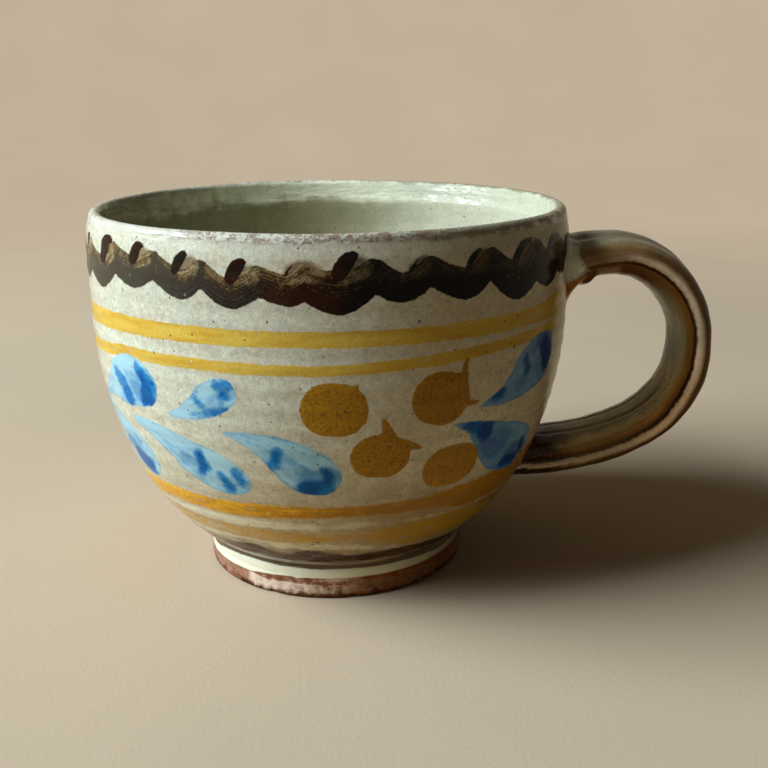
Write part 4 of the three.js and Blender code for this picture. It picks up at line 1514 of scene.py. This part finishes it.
bend = [
    (BEND_START + BEND_RADIUS * math.sin(angle), BEND_RADIUS * (1 - math.cos(angle)))
    for angle in np.linspace(0, math.pi / 2, 25)
]
sweep_line = [(FLOOR_FRONT, 0.0), *bend, (BEND_START + BEND_RADIUS, WALL_TOP)]
sweep_points = [(side * SWEEP_WIDTH / 2, y, z) for y, z in sweep_line for side in (-1, 1)]
sweep_faces = [(2 * i, 2 * i + 1, 2 * i + 3, 2 * i + 2) for i in range(len(sweep_line) - 1)]
floor = make_piece("pale_sweep", np.array(sweep_points) / MM, sweep_faces, axis=0)

sandy = Finish("pale_sweep")
patchy = 1 + sandy.cloud(60, detail=2) * 0.06
roughened = sandy.cloud(0.8, detail=2) * 0.02
away = sandy.node("ShaderNodeVectorMath", {"operation": "LENGTH"}, {0: sandy.place}, "Value")
bump = sandy.node("ShaderNodeBump", sockets={"Distance": MM, "Height": roughened})
matt = {"Base Color": sandy.tint(NEAR_COLOUR, patchy), "Roughness": 0.9, "Normal": bump}
near_floor = sandy.node("ShaderNodeBsdfPrincipled", sockets=matt)
far_floor = sandy.node("ShaderNodeEmission", sockets={"Color": sandy.tint(FAR_COLOUR, patchy)})
seen_floor = sandy.node(
    "ShaderNodeMixShader", sockets={0: away.rise(200, 560), 1: near_floor, 2: far_floor}
)
bounce = sandy.blend(NEAR_BOUNCE, FAR_BOUNCE, away.rise(50, 180))
dim_floor = sandy.node("ShaderNodeBsdfDiffuse", sockets={"Color": bounce})
looked_at = sandy.looked_at(MIRRORED_FLOOR)
surface = sandy.node("ShaderNodeMixShader", sockets={0: looked_at, 1: dim_floor, 2: seen_floor})
sandy.node("ShaderNodeOutputMaterial", sockets={"Surface": surface})
floor.data.materials.append(sandy.owner)

# %% One large soft lamp
WINDOW_AZIMUTH, WINDOW_ELEVATION = math.radians(-172.5), math.radians(33)
WINDOW_DISTANCE, WINDOW_SIZE = 2.0, 1.3
WINDOW_BRIGHTNESS, WINDOW_TINT = 1.76, (0.90, 1.0, 1.02)
AIM = Vector((BOWL_AXIS * MM, 0, 0.035))

way = Vector((
    math.cos(WINDOW_AZIMUTH) * math.cos(WINDOW_ELEVATION),
    math.sin(WINDOW_AZIMUTH) * math.cos(WINDOW_ELEVATION),
    math.sin(WINDOW_ELEVATION),
))
lamp_data = bpy.data.lights.new("window_light", "AREA")
lamp_data.size = WINDOW_SIZE
lamp_data.energy = WINDOW_BRIGHTNESS * math.pi**2 * WINDOW_DISTANCE**2
lamp_data.color = WINDOW_TINT
lamp = bpy.data.objects.new("window_light", lamp_data)
bpy.context.scene.collection.objects.link(lamp)
lamp.location = AIM + way * WINDOW_DISTANCE
lamp.rotation_mode = "QUATERNION"
lamp.rotation_quaternion = way.to_track_quat("Z", "Y")
print(lamp.name, "gives", round(lamp_data.energy, 2), "W from", WINDOW_DISTANCE, "m")

# %% Sky
ROOM_LIGHT, ROOM_STRENGTH = (1.0, 0.80, 0.55), 0.027

world = bpy.data.worlds.new("room")
bpy.context.scene.world = world
sky = Recipe(world)
filling = {"Color": ROOM_LIGHT, "Strength": ROOM_STRENGTH}
lighting = sky.node("ShaderNodeBackground", sockets=filling)
backdrop = sky.node("ShaderNodeBackground", sockets={"Color": FAR_COLOUR})
room = sky.node("ShaderNodeMixShader", sockets={0: sky.looked_at(1), 1: lighting, 2: backdrop})
sky.node("ShaderNodeOutputWorld", sockets={"Surface": room})
bpy.context.scene.view_settings.view_transform = "Standard"
print("the room's light has a strength of", ROOM_STRENGTH)
